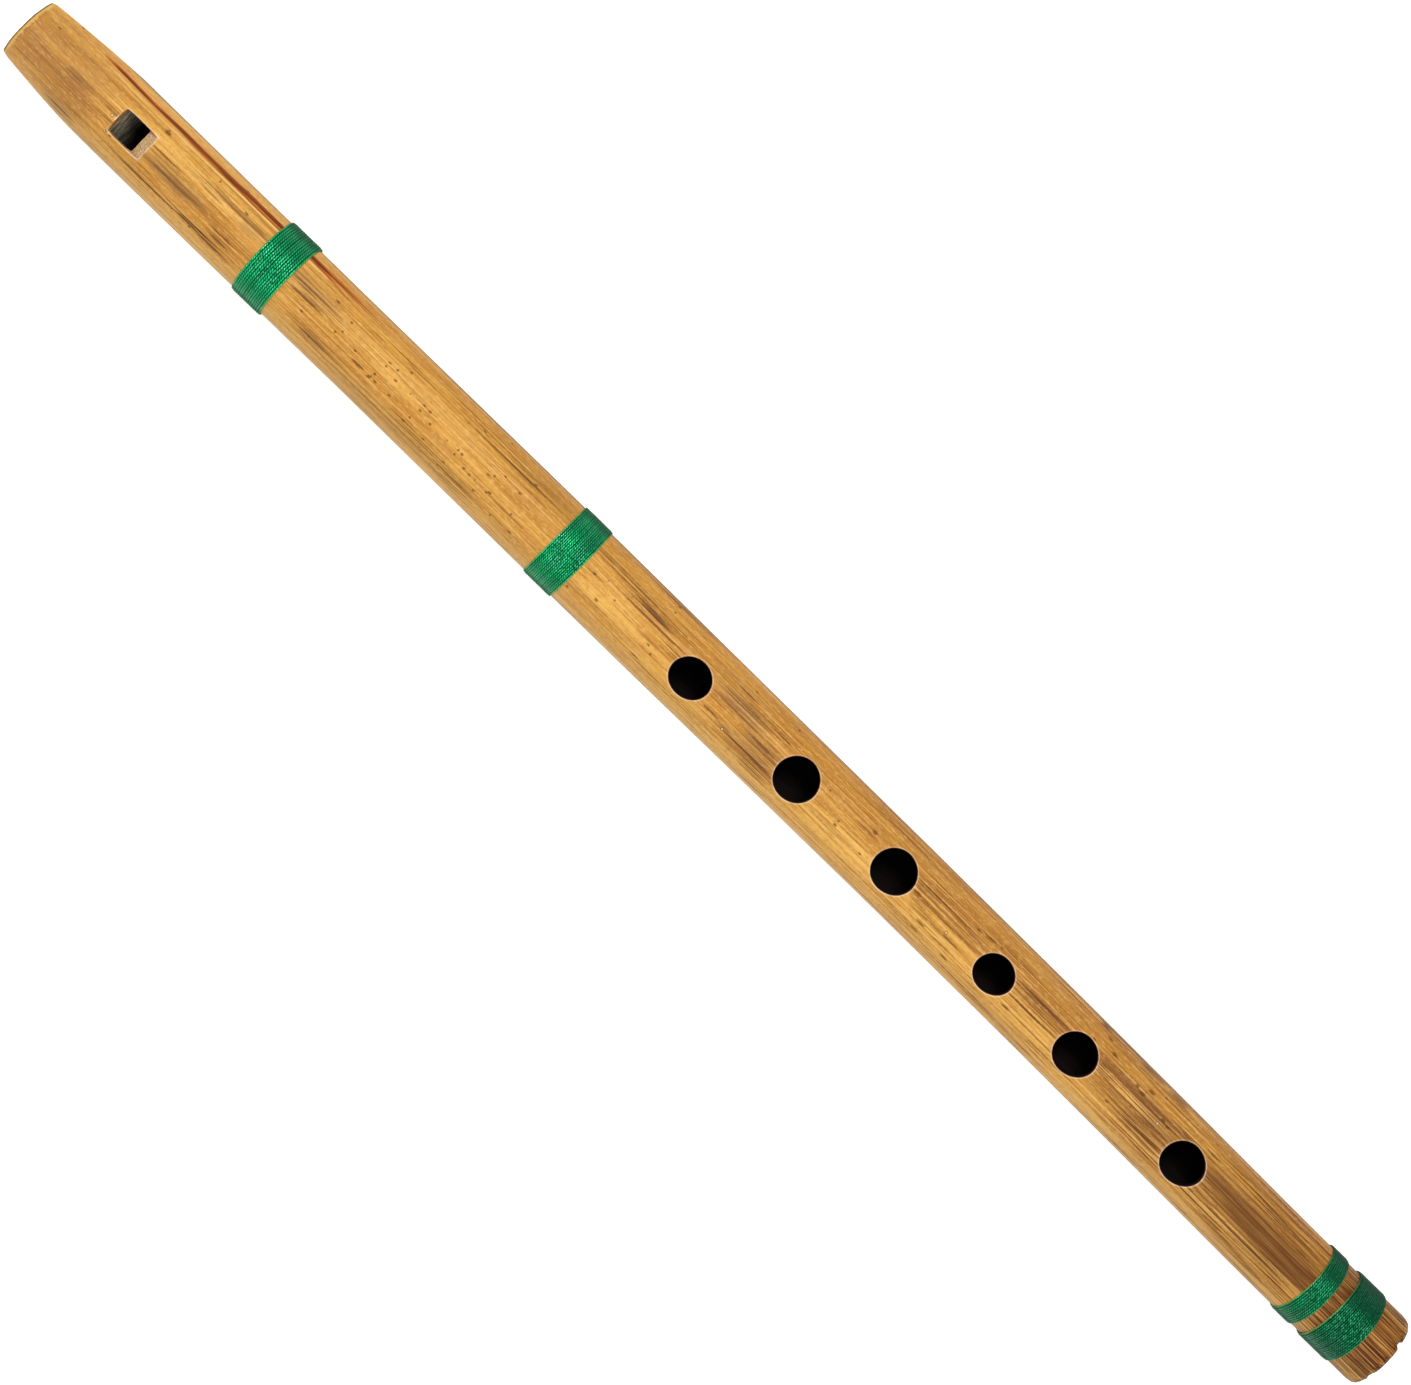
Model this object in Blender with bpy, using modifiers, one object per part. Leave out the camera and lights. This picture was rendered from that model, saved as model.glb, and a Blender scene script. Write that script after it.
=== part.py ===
"""Bamboo flute with a beak, a windway block, a window and six finger holes, bound with thread.

Metres, +Z up. X runs along the flute from the mouth end to the foot, the finger holes face
+Z, and the flute lies on its four thread bindings at Z = 0. The origin is below the middle
of the flute. Distances "from the tip" are measured along X from the mouth end.
"""

from itertools import combinations
from math import cos, pi, radians, sin, tan

import bmesh
import bpy
import numpy as np
from mathutils import Matrix, Vector

MM = 0.001

# Bamboo tube
TUBE_LENGTH = 350.0 * MM
TUBE_RADIUS = 7.9 * MM
WALL_THICKNESS = 1.65 * MM
# The cane swells and thins along its length: distance from the tip, change of radius
CANE_SWELL = (
    (0.0 * MM, 0.10 * MM),
    (45.0 * MM, 0.10 * MM),
    (85.0 * MM, 0.0 * MM),
    (130.0 * MM, 0.10 * MM),
    (155.0 * MM, 0.08 * MM),
    (195.0 * MM, -0.08 * MM),
    (225.0 * MM, -0.14 * MM),
)
TIP_EDGE_ROUND = 0.7 * MM
FOOT_EDGE_ROUND = 0.7 * MM
FOOT_EDGE_ROUND_LENGTH = 2.0 * MM
BORE_EDGE_ROUND = 0.15 * MM

# Worn chips in the foot's rim: angle from the top towards +Y, radius, depth along the flute
FOOT_CHIPS = (
    (-31.0, 1.5 * MM, 0.7 * MM),
    (25.0, 1.8 * MM, 0.6 * MM),
    (140.0, 2.2 * MM, 0.8 * MM),
)

# Finger holes, burnt through the top wall: distance from the tip, diameter, offset to +Y
FINGER_HOLES = (
    (169.7 * MM, 7.75 * MM, -0.28 * MM),
    (196.5 * MM, 8.45 * MM, 0.0 * MM),
    (221.1 * MM, 8.25 * MM, 0.40 * MM),
    (247.5 * MM, 7.70 * MM, -0.13 * MM),
    (268.7 * MM, 8.35 * MM, 0.0 * MM),
    (297.1 * MM, 8.45 * MM, -0.20 * MM),
)

# Window, cut through the top wall where the windway ends, and its sloping lip
WINDOW_FROM_TIP = 24.6 * MM
WINDOW_LENGTH = 5.5 * MM
WINDOW_WIDTH = 5.2 * MM
LIP_SLOPE = radians(42.0)
LIP_SINK = 0.15 * MM

# Windway block, pressed into the bore
WINDWAY_HEIGHT = 0.85 * MM
BLOCK_CLEARANCE = 0.25 * MM
BLOCK_TIP_THICKNESS = 0.65 * MM
BLOCK_COVER = 1.2 * MM

# Beak, cut away from the underside: a flat slope, a bend and a steep end
BEAK_SLOPE = radians(11.6)
BEAK_FLAT_LENGTH = 18.0 * MM
BEAK_BEND_RADIUS = 15.0 * MM
BEAK_END_SLOPE = radians(47.0)

# Thread bindings: distance of the near edge, and width along the flute
HEAD_BINDING_FROM_TIP = 59.2 * MM
HEAD_BINDING_WIDTH = 7.4 * MM
MIDDLE_BINDING_FROM_TIP = 134.0 * MM
MIDDLE_BINDING_WIDTH = 7.2 * MM
NARROW_FOOT_BINDING_FROM_FOOT = 16.0 * MM
NARROW_FOOT_BINDING_WIDTH = 4.6 * MM
WIDE_FOOT_BINDING_FROM_FOOT = 6.1 * MM
WIDE_FOOT_BINDING_WIDTH = 7.7 * MM
THREAD_DIAMETER = 0.5 * MM
THREAD_PITCH = 0.95 * MM
UNDERLAY_THICKNESS = 0.25 * MM
UNDERLAY_CLEARANCE = 0.15 * MM
THREAD_SIT = 0.03 * MM
REST_FLAT = THREAD_DIAMETER / 10

# Facets
TUBE_SIDES = 48
HOLE_SIDES = 28
TURN_POINTS = 24
BEND_POINTS = 8
ROUND_POINTS = 3
SMOOTH_ANGLE = radians(35.0)

# Length by which a cutter passes the faces that it cuts through
PASS = 3.0 * MM

# Colours, roughness
CANE_LOOK = ((0.62, 0.36, 0.11, 1.0), 0.5)
BLOCK_LOOK = ((0.35, 0.24, 0.13, 1.0), 0.75)
THREAD_LOOK = ((0.0, 0.33, 0.13, 1.0), 0.45)

TIP_X = -TUBE_LENGTH / 2
FOOT_X = TUBE_LENGTH / 2
BORE_RADIUS = TUBE_RADIUS - WALL_THICKNESS
# Height of the windway's floor, the block's planed top, above the axis
WINDWAY_FLOOR = BORE_RADIUS - WINDWAY_HEIGHT
# Height of the beak's cut above the axis at the tip, which leaves the block's thin end
BEAK_TIP_HEIGHT = WINDWAY_FLOOR - BLOCK_TIP_THICKNESS
# Width of the cutters that pass the whole flute
CUT_WIDTH = 2 * (TUBE_RADIUS + PASS)

# Start and end of each binding, from the tip
BINDINGS = {
    "head_binding": (HEAD_BINDING_FROM_TIP, HEAD_BINDING_FROM_TIP + HEAD_BINDING_WIDTH),
    "middle_binding": (
        MIDDLE_BINDING_FROM_TIP,
        MIDDLE_BINDING_FROM_TIP + MIDDLE_BINDING_WIDTH,
    ),
    "narrow_foot_binding": (
        TUBE_LENGTH - NARROW_FOOT_BINDING_FROM_FOOT - NARROW_FOOT_BINDING_WIDTH,
        TUBE_LENGTH - NARROW_FOOT_BINDING_FROM_FOOT,
    ),
    "wide_foot_binding": (
        TUBE_LENGTH - WIDE_FOOT_BINDING_FROM_FOOT - WIDE_FOOT_BINDING_WIDTH,
        TUBE_LENGTH - WIDE_FOOT_BINDING_FROM_FOOT,
    ),
}


def cane_radius(from_tip):
    """Outer radius of the bare cane at a distance from the tip."""
    places, swells = zip(*CANE_SWELL)
    return TUBE_RADIUS + float(np.interp(from_tip, places, swells))


def widest_cane(start, end):
    """Largest outer radius of the cane between two distances from the tip."""
    return max(cane_radius(d) for d in np.linspace(start, end, 12))


# Every binding is wound up to one outer radius, so the flute lies level on all four
UNDERLAY_FACET = cos(pi / TURN_POINTS)
UNDERLAY_RADIUS = (
    max(widest_cane(*reach) for reach in BINDINGS.values()) + UNDERLAY_CLEARANCE
) / UNDERLAY_FACET + UNDERLAY_THICKNESS
THREAD_PATH_RADIUS = UNDERLAY_RADIUS + THREAD_SIT
AXIS_HEIGHT = THREAD_PATH_RADIUS * UNDERLAY_FACET + THREAD_DIAMETER / 2 - REST_FLAT


def clear_scene():
    """Remove every object and the collections of an earlier run."""
    for item in list(bpy.data.objects):
        bpy.data.objects.remove(item, do_unlink=True)
    for collection in list(bpy.data.collections):
        bpy.data.collections.remove(collection)


def make_collection(name):
    collection = bpy.data.collections.new(name)
    bpy.context.scene.collection.children.link(collection)
    return collection


def make_material(name, look):
    colour, roughness = look
    material = bpy.data.materials.new(name)
    material.use_nodes = True
    shader = material.node_tree.nodes["Principled BSDF"]
    shader.inputs["Base Color"].default_value = colour
    shader.inputs["Roughness"].default_value = roughness
    shader.inputs["Metallic"].default_value = 0.0
    material.diffuse_color = colour
    return material


def add_piece(name, mesh, material):
    """Put a mesh in the flute's collection as a piece of its own."""
    piece = bpy.data.objects.new(name, mesh)
    piece.data.materials.append(material)
    FLUTE.objects.link(piece)
    return piece


def add_cutter(name, mesh):
    """Put a mesh among the cutters, which are hidden from the render."""
    cutter = bpy.data.objects.new(name, mesh)
    cutter.hide_render = True
    cutter.display_type = "WIRE"
    CUTTERS.objects.link(cutter)
    return cutter


def combine(piece, other, operation):
    """Cut the piece with another object, or join the other to it."""
    boolean = piece.modifiers.new(other.name, "BOOLEAN")
    boolean.operation = operation
    boolean.solver = "EXACT"
    boolean.object = other


def finish(piece):
    """Turn the piece's modifiers into mesh, and shade it smooth between its edges."""
    depsgraph = bpy.context.evaluated_depsgraph_get()
    mesh = bpy.data.meshes.new_from_object(piece.evaluated_get(depsgraph))
    mesh.name = piece.name
    piece.modifiers.clear()
    piece.data = mesh
    mesh.shade_smooth()
    mesh.set_sharp_from_angle(angle=SMOOTH_ANGLE)


def curve_to_mesh(curve):
    """Mesh of a curve, in its own frame, with its caps welded on."""
    source = bpy.data.objects.new("source", curve)
    bpy.context.scene.collection.objects.link(source)
    depsgraph = bpy.context.evaluated_depsgraph_get()
    mesh = bpy.data.meshes.new_from_object(source.evaluated_get(depsgraph))
    bpy.data.objects.remove(source, do_unlink=True)
    welded = bmesh.new()
    welded.from_mesh(mesh)
    bmesh.ops.remove_doubles(welded, verts=welded.verts, dist=0.001 * MM)
    bmesh.ops.recalc_face_normals(welded, faces=welded.faces)
    welded.to_mesh(mesh)
    welded.free()
    return mesh


def upright_prism(name, outline, width):
    """Cutter whose outline lies in the XZ plane and which is `width` wide along Y."""
    curve = bpy.data.curves.new(name, "CURVE")
    curve.dimensions = "2D"
    curve.fill_mode = "BOTH"
    curve.extrude = width / 2
    spline = curve.splines.new("POLY")
    spline.points.add(len(outline) - 1)
    for point, (x, z) in zip(spline.points, outline):
        point.co = (x, z, 0.0, 1.0)
    spline.use_cyclic_u = True
    cutter = add_cutter(name, curve_to_mesh(curve))
    cutter.rotation_euler = (pi / 2, 0.0, 0.0)
    cutter.location = (TIP_X, 0.0, AXIS_HEIGHT)
    return cutter


def turned(piece, profile, sides, first_angle=0.0):
    """Turn a closed profile of (distance from the tip, radius) points round the flute's axis."""
    outline = bmesh.new()
    corners = [outline.verts.new((radius, 0.0, from_tip)) for from_tip, radius in profile]
    for a, b in zip(corners, corners[1:] + corners[:1]):
        outline.edges.new((a, b))
    outline.to_mesh(piece.data)
    outline.free()
    screw = piece.modifiers.new("turn", "SCREW")
    screw.steps = sides
    screw.render_steps = sides
    screw.use_merge_vertices = True
    screw.merge_threshold = 0.0005 * MM
    screw.use_smooth_shade = True
    lay_on_axis(piece, first_angle)


def lay_on_axis(piece, first_angle=0.0):
    """Lay a piece made round its own Z along the flute, its start at the tip.

    `first_angle` turns it round the flute, from the bottom.
    """
    along = Matrix.Rotation(pi / 2, 4, "Y") @ Matrix.Rotation(first_angle, 4, "Z")
    piece.matrix_world = Matrix.Translation((TIP_X, 0.0, AXIS_HEIGHT)) @ along


def quarter_round(start, end):
    """Points on a quarter of an ellipse, which leaves `start` along the flute."""
    (x0, r0), (x1, r1) = start, end
    angles = [pi / 2 * step / ROUND_POINTS for step in range(ROUND_POINTS + 1)]
    return [(x0 + (x1 - x0) * sin(a), r1 + (r0 - r1) * cos(a)) for a in angles]


def beak_line():
    """Points (from the tip, above the axis) of the beak's cut, from the tip to below the tube."""
    bend_start = BEAK_TIP_HEIGHT - BEAK_FLAT_LENGTH * tan(BEAK_SLOPE)
    centre_x = BEAK_FLAT_LENGTH - BEAK_BEND_RADIUS * sin(BEAK_SLOPE)
    centre_z = bend_start - BEAK_BEND_RADIUS * cos(BEAK_SLOPE)
    line = [(-PASS, BEAK_TIP_HEIGHT + PASS * tan(BEAK_SLOPE))]
    for step in range(BEND_POINTS + 1):
        angle = BEAK_SLOPE + (BEAK_END_SLOPE - BEAK_SLOPE) * step / BEND_POINTS
        line.append(
            (
                centre_x + BEAK_BEND_RADIUS * sin(angle),
                centre_z + BEAK_BEND_RADIUS * cos(angle),
            )
        )
    x, z = line[-1]
    drop = z + cane_radius(0.0) + PASS
    line.append((x + drop / tan(BEAK_END_SLOPE), z - drop))
    return line


def beak_reach(height):
    """Distance from the tip at which the beak's cut falls to a height above the axis."""
    line = beak_line()
    for (x0, z0), (x1, z1) in zip(line, line[1:]):
        if z0 >= height >= z1:
            return x0 + (x1 - x0) * (z0 - height) / (z0 - z1)
    return line[-1][0]


def tube_profile():
    """Closed profile of the cane: down its outside from the foot to the tip, back up the bore."""
    foot_radius = cane_radius(TUBE_LENGTH)
    tip_radius = cane_radius(0.0)
    foot_start = TUBE_LENGTH - FOOT_EDGE_ROUND_LENGTH
    outside = [
        (d, cane_radius(d))
        for d, _ in reversed(CANE_SWELL)
        if TIP_EDGE_ROUND < d < foot_start
    ]
    foot_edge = quarter_round(
        (foot_start, foot_radius), (TUBE_LENGTH, foot_radius - FOOT_EDGE_ROUND)
    )
    tip_edge = quarter_round(
        (TIP_EDGE_ROUND, tip_radius), (0.0, tip_radius - TIP_EDGE_ROUND)
    )
    bore = [
        (0.0, BORE_RADIUS + BORE_EDGE_ROUND),
        (BORE_EDGE_ROUND, BORE_RADIUS),
        (TUBE_LENGTH - BORE_EDGE_ROUND, BORE_RADIUS),
        (TUBE_LENGTH, BORE_RADIUS + BORE_EDGE_ROUND),
    ]
    return foot_edge[::-1] + outside + tip_edge + bore


def window_cutter():
    """Prism with an upright head end, and a lip that slopes up to the outside of the cane."""
    top = cane_radius(WINDOW_FROM_TIP) + PASS
    lip = BORE_RADIUS - LIP_SINK
    lip_x = WINDOW_FROM_TIP + WINDOW_LENGTH
    outline = [
        (WINDOW_FROM_TIP, WINDWAY_FLOOR),
        (lip_x, WINDWAY_FLOOR),
        (lip_x, lip),
        (lip_x + (top - lip) / tan(LIP_SLOPE), top),
        (WINDOW_FROM_TIP, top),
    ]
    return upright_prism("window_cut", outline, WINDOW_WIDTH)


def round_cutter(name, radius, depth, sides):
    """Upright cylinder from its own origin up to `depth`."""
    shape = bmesh.new()
    bmesh.ops.create_cone(
        shape,
        cap_ends=True,
        segments=sides,
        radius1=radius,
        radius2=radius,
        depth=depth,
        matrix=Matrix.Translation((0.0, 0.0, depth / 2)),
    )
    mesh = bpy.data.meshes.new(name)
    shape.to_mesh(mesh)
    shape.free()
    return add_cutter(name, mesh)


def make_tube(beak_cut):
    mesh = bpy.data.meshes.new("bamboo_tube")
    tube = add_piece("bamboo_tube", mesh, make_material("bamboo", CANE_LOOK))
    turned(tube, tube_profile(), TUBE_SIDES)
    combine(tube, beak_cut, "DIFFERENCE")
    combine(tube, window_cutter(), "DIFFERENCE")
    for number, (from_tip, diameter, aside) in enumerate(FINGER_HOLES, 1):
        depth = cane_radius(from_tip) + PASS
        cutter = round_cutter(f"finger_hole_{number}", diameter / 2, depth, HOLE_SIDES)
        cutter.location = (TIP_X + from_tip, aside, AXIS_HEIGHT)
        combine(tube, cutter, "DIFFERENCE")
    for number, (degrees, radius, depth) in enumerate(FOOT_CHIPS, 1):
        reach = cane_radius(TUBE_LENGTH) + PASS
        cutter = round_cutter(f"foot_chip_{number}", radius, reach, HOLE_SIDES)
        cutter.location = (FOOT_X + radius - depth, 0.0, AXIS_HEIGHT)
        cutter.rotation_euler = (-radians(degrees), 0.0, 0.0)
        combine(tube, cutter, "DIFFERENCE")
    return tube


def make_block(beak_cut):
    """Plug in the bore, planed flat for the windway, its end raked to close the beak's cut."""
    mesh = bpy.data.meshes.new("fipple_block")
    block = add_piece("fipple_block", mesh, make_material("block_wood", BLOCK_LOOK))
    radius = BORE_RADIUS - BLOCK_CLEARANCE
    short = WINDOW_FROM_TIP
    long = max(beak_reach(-BORE_RADIUS) + BLOCK_COVER, short)
    shape = bmesh.new()
    bmesh.ops.create_cone(
        shape,
        cap_ends=True,
        segments=TUBE_SIDES,
        radius1=radius,
        radius2=radius,
        depth=long + PASS,
        matrix=Matrix.Translation((0.0, 0.0, (long + PASS) / 2)),
    )
    shape.to_mesh(mesh)
    shape.free()
    lay_on_axis(block)
    above = WINDWAY_FLOOR + PASS
    below = -radius - PASS
    behind = long + 2 * PASS
    windway = upright_prism(
        "windway_cut",
        [(-PASS, WINDWAY_FLOOR), (behind, WINDWAY_FLOOR), (behind, above), (-PASS, above)],
        CUT_WIDTH,
    )
    rake = (long - short) / (WINDWAY_FLOOR + radius)
    raked_end = upright_prism(
        "block_end_cut",
        [
            (short - PASS * rake, above),
            (long + PASS * rake, below),
            (behind, below),
            (behind, above),
        ],
        CUT_WIDTH,
    )
    for cutter in (windway, raked_end, beak_cut):
        combine(block, cutter, "DIFFERENCE")
    return block


def thread_path(start, end):
    """Points of one unbroken thread, wound between two distances from the tip.

    The turns are even, at least a pitch apart, and the outer two lie flush with the edges.
    """
    travel = end - start - THREAD_DIAMETER
    turns = max(1, int(travel / THREAD_PITCH))
    steps = turns * TURN_POINTS
    return [
        Vector(
            (
                THREAD_PATH_RADIUS * cos(2 * pi * step / TURN_POINTS),
                THREAD_PATH_RADIUS * sin(2 * pi * step / TURN_POINTS),
                start + THREAD_DIAMETER / 2 + travel * step / steps,
            )
        )
        for step in range(steps + 1)
    ]


def least_gap(points):
    """Smallest clear gap between one turn of a thread and any other."""
    nearest = min(
        (a - b).length
        for (i, a), (j, b) in combinations(enumerate(points), 2)
        if j - i >= TURN_POINTS // 2
    )
    return nearest - THREAD_DIAMETER


def make_binding(name, material):
    """Thread wound round the cane: plain inner layers, and an outer layer that shows its turns."""
    start, end = BINDINGS[name]
    inner = (widest_cane(start, end) + UNDERLAY_CLEARANCE) / UNDERLAY_FACET
    binding = add_piece(name, bpy.data.meshes.new(name), material)
    half_turn = pi / TURN_POINTS
    turned(
        binding,
        [(end, UNDERLAY_RADIUS), (start, UNDERLAY_RADIUS), (start, inner), (end, inner)],
        TURN_POINTS,
        half_turn,
    )

    path = thread_path(start, end)
    print(f"{name}: least gap between turns {least_gap(path) / MM:.2f} mm")
    curve = bpy.data.curves.new(name + "_thread", "CURVE")
    curve.dimensions = "3D"
    curve.twist_mode = "Z_UP"
    curve.bevel_depth = THREAD_DIAMETER / 2
    curve.bevel_resolution = 1
    curve.use_fill_caps = True
    spline = curve.splines.new("POLY")
    spline.points.add(len(path) - 1)
    for point, place in zip(spline.points, path):
        point.co = (*place, 1.0)
    thread = add_cutter(name + "_thread", curve_to_mesh(curve))
    lay_on_axis(thread, half_turn)
    combine(binding, thread, "UNION")
    combine(binding, REST_CUT, "DIFFERENCE")
    return binding


def make_rest_cut():
    """Block under the flute, whose top at Z = 0 leaves the flats that it lies on."""
    shape = bmesh.new()
    bmesh.ops.create_cube(shape, size=1.0)
    bmesh.ops.scale(shape, vec=(TUBE_LENGTH, CUT_WIDTH, PASS), verts=shape.verts)
    bmesh.ops.translate(shape, vec=(0.0, 0.0, -PASS / 2), verts=shape.verts)
    mesh = bpy.data.meshes.new("rest_cut")
    shape.to_mesh(mesh)
    shape.free()
    return add_cutter("rest_cut", mesh)


clear_scene()
FLUTE = make_collection("bamboo_flute")
CUTTERS = make_collection("cutters")
REST_CUT = make_rest_cut()

underside = beak_line()
corner_below_tip = (-PASS, underside[-1][1])
beak = upright_prism("beak_cut", underside + [corner_below_tip], CUT_WIDTH)

pieces = [make_tube(beak), make_block(beak)]
thread_material = make_material("green_thread", THREAD_LOOK)
for binding_name in BINDINGS:
    pieces.append(make_binding(binding_name, thread_material))
bpy.context.view_layer.update()
for piece in pieces:
    finish(piece)
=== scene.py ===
from math import cos, pi, radians, sin, tan

import bmesh
import bpy
import numpy as np
from mathutils import Matrix, Vector


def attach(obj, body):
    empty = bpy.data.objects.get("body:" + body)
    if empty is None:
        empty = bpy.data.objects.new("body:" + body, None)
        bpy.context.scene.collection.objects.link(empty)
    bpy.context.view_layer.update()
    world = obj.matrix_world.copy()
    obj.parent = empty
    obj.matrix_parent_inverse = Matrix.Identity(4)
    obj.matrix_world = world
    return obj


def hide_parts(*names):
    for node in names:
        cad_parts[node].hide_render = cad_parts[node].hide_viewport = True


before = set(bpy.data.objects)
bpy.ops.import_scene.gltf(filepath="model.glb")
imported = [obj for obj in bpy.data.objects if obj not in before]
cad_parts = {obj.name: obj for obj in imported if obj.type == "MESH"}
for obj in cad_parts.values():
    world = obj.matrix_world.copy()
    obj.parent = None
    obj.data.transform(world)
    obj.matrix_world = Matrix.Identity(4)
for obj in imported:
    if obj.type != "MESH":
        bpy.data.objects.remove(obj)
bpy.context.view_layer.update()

# Shapes are worked out in millimetres: `d` is the distance from the tip along the flute,
# `turn` the angle round it from the top towards +Y. A skin's `finish` turns them into metres.
MM = 0.001
LENGTH = 350.0
CANE_RADIUS = 7.9
BORE_RADIUS = 6.25
# Distance from the tip, change of the cane's radius
CANE_SWELL = ((0, 0.1), (45, 0.1), (85, 0.0), (130, 0.1), (155, 0.08), (195, -0.08), (225, -0.14))
# Distance from the tip, sideways bow of the cane towards +Y
CANE_BOW = (
    (0, -0.05), (5, -0.06), (8, -0.16), (11, -0.27), (16, -0.37), (26, -0.4), (55, -0.27),
    (63, -0.18), (92, 0.02), (125, 0.17), (138, 0.2), (166, 0.25), (197, 0.36), (226, 0.43),
    (258, 0.31), (276, 0.18), (297, -0.01), (315, -0.21), (325, -0.3), (338, -0.33), (350, -0.28),
)
# Waves of the cane's radius: seed, height, length along the cane, count round it
CANE_WAVES = ((11, 0.035, 70.0, 5), (12, 0.016, 38.0, 44), (13, 0.009, 14.0, 130))
# Bindings: start, end, outer radius, height of the thread, pitch, how light its green is, then
# how the start leans and draws back at the sides, and the same of the end
BINDINGS = {
    "head": (59.38, 66.8, 8.41, 0.46, 0.49, 0.4, (-0.22, 0.13, -0.11, -0.13)),
    "middle": (134.2, 141.4, 8.355, 0.4, 0.42, 0.4, (0.02, 0.04, 0.0, -0.3)),
    "narrow_foot": (329.65, 334.05, 8.12, 0.4, 0.42, -0.4, (0.15, 0.0, -0.08, -0.16)),
    "wide_foot": (336.45, 343.93, 8.226, 0.46, 0.42, -0.95, (0.12, 0.36, -0.17, -0.33)),
}
# Finger holes: distance from the tip, length along, width across, offset towards +Y
FINGER_HOLES = (
    (169.8, 8.26, 7.52, -0.28), (196.7, 8.62, 8.48, 0.0), (221.35, 8.75, 8.4, 0.4),
    (247.7, 8.03, 7.32, -0.13), (268.8, 8.66, 8.08, -0.05), (297.15, 8.66, 8.08, -0.32),
)
# Window: its head end, the lip's edge at the bore and at the outside, half its width
WINDOW_START = 24.45
LIP_EDGE = 30.1
LIP_TOP = 32.05
WINDOW_HALF = 2.75
# Block: height of its planed top above the axis, its radius, where it ends at top and bottom
WINDWAY_FLOOR = 5.4
BLOCK_RADIUS = BORE_RADIUS - 0.015
BLOCK_SHORT = 24.6
BLOCK_LONG = 29.8
# The beak's line: height at the tip, slope and rounding of its long part, then the bend
BEAK_TIP_HEIGHT = 4.75
BEAK_SLOPE = 0.13
BEAK_ROUNDING = 0.0035
BEAK_FLAT_LENGTH = 18.0
BEAK_BEND_RADIUS = 15.0
BEAK_END_SLOPE = radians(47.0)
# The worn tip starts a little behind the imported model's, and the block a little behind it
TIP_END = 0.38
BLOCK_START = TIP_END + 0.1
# Past this distance the cane is stretched to its uneven end
FOOT_CUT = 346.0
# The bore ends a little inside the foot. Lengths of its flare at both ends
BORE_END = 349.8
TIP_FLARE = 0.3
FOOT_FLARE = 0.4

# Columns round the walls, half the cells of the square that becomes a rim, and the angle
# that half of its end side takes up on a round rim
OUTER_COLUMNS = 288
BORE_COLUMNS = 96
RIM_CELLS = (3, 12)
RIM_SIDE = 25.0
# Rings at the cane's ends, closer towards the edges
TIP_RINGS = TIP_END + np.array([0.0, 0.1, 0.25, 0.45, 0.7, 0.95, 1.2, 1.5, 1.8, 2.3, 3.2])
FOOT_RINGS = (345.0, 346.0, 347.0, 347.8, 348.4, 348.9, 349.3, 349.65, 349.9, 350.0)
# Rounding of a rim, then its rings: the share of the rounding left, the drop below the wall
ROUNDING = 0.2
RIM_ROLL = ((0.62, 0.03), (0.28, 0.09), (0.07, 0.18), (0.0, 0.32))
# Past this distance the bindings take still more painted shade on their +Y side
NEAR_FOOT = 300.0
# Thread: steps in one turn round the cane, twists of its two strands in one turn, and the
# angles of the points round its section
THREAD_STEPS = 400
THREAD_TWISTS = 46.37
THREAD_SECTION = np.radians([-90, -38, -6, 25, 57, 90, 123, 155, 186, 218])
# Sleeve under a binding: steps round the cane, then for the six points of its section their
# places along it and their depths in thread heights
SLEEVE_STEPS = 144
SLEEVE_ALONG = np.array([0, 0, 0.5, 1, 1, 0.5])
SLEEVE_DEPTH = np.array([1.0, 0.66, 0.6, 0.66, 1.0, 1.0])


def axis_height(d):
    """Height of the axis: a straight line, set by the two bindings that rest on the floor."""
    resting = BINDINGS["head"], BINDINGS["wide_foot"]
    middles = [((start + end) / 2, outer) for start, end, outer, *_ in resting]
    (head_d, head_height), (foot_d, foot_height) = middles
    slope = (foot_height - head_height) / (foot_d - head_d)
    return head_height + slope * (np.asarray(d, float) - head_d)


def eased(d, table):
    """Value of a table at `d`, read along straight lines and then smoothed over 8 mm."""
    around = [np.interp(np.asarray(d, float) + step, *zip(*table)) for step in (-4, -2, 0, 2, 4)]
    return sum(around) / len(around)


def bow(d):
    return eased(d, CANE_BOW)


def smooth_step(value, low, high):
    """0 below `low`, 1 above `high`, and a smooth S between them."""
    t = np.clip((np.asarray(value, float) - low) / (high - low), 0.0, 1.0)
    return t * t * (3.0 - 2.0 * t)


def bell(offset, power=2):
    """1 in the middle and close to 0 two units away, with steeper sides for a higher power."""
    return np.exp(-(offset**power))


def ripple(seed, d, turn, length, count):
    """Smooth noise from -1 to 1: random heights every `length` mm along and `count` around.

    Between the heights it follows an S curve both ways, and it closes round the cane.
    """
    rows = int(LENGTH / length) + 4
    heights = np.random.default_rng(seed).uniform(-1.0, 1.0, (rows, count))
    u = np.clip(d / length + 1.0, 0.0, rows - 1.001)
    v = (turn / (2 * pi)) % 1.0 * count
    i, j = np.floor(u).astype(int), np.floor(v).astype(int)
    fu, fv = smooth_step(u - i, 0, 1), smooth_step(v - j, 0, 1)
    j, k = j % count, (j + 1) % count
    near = heights[i, j] * (1 - fv) + heights[i, k] * fv
    far = heights[i + 1, j] * (1 - fv) + heights[i + 1, k] * fv
    return near * (1 - fu) + far * fu


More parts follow.
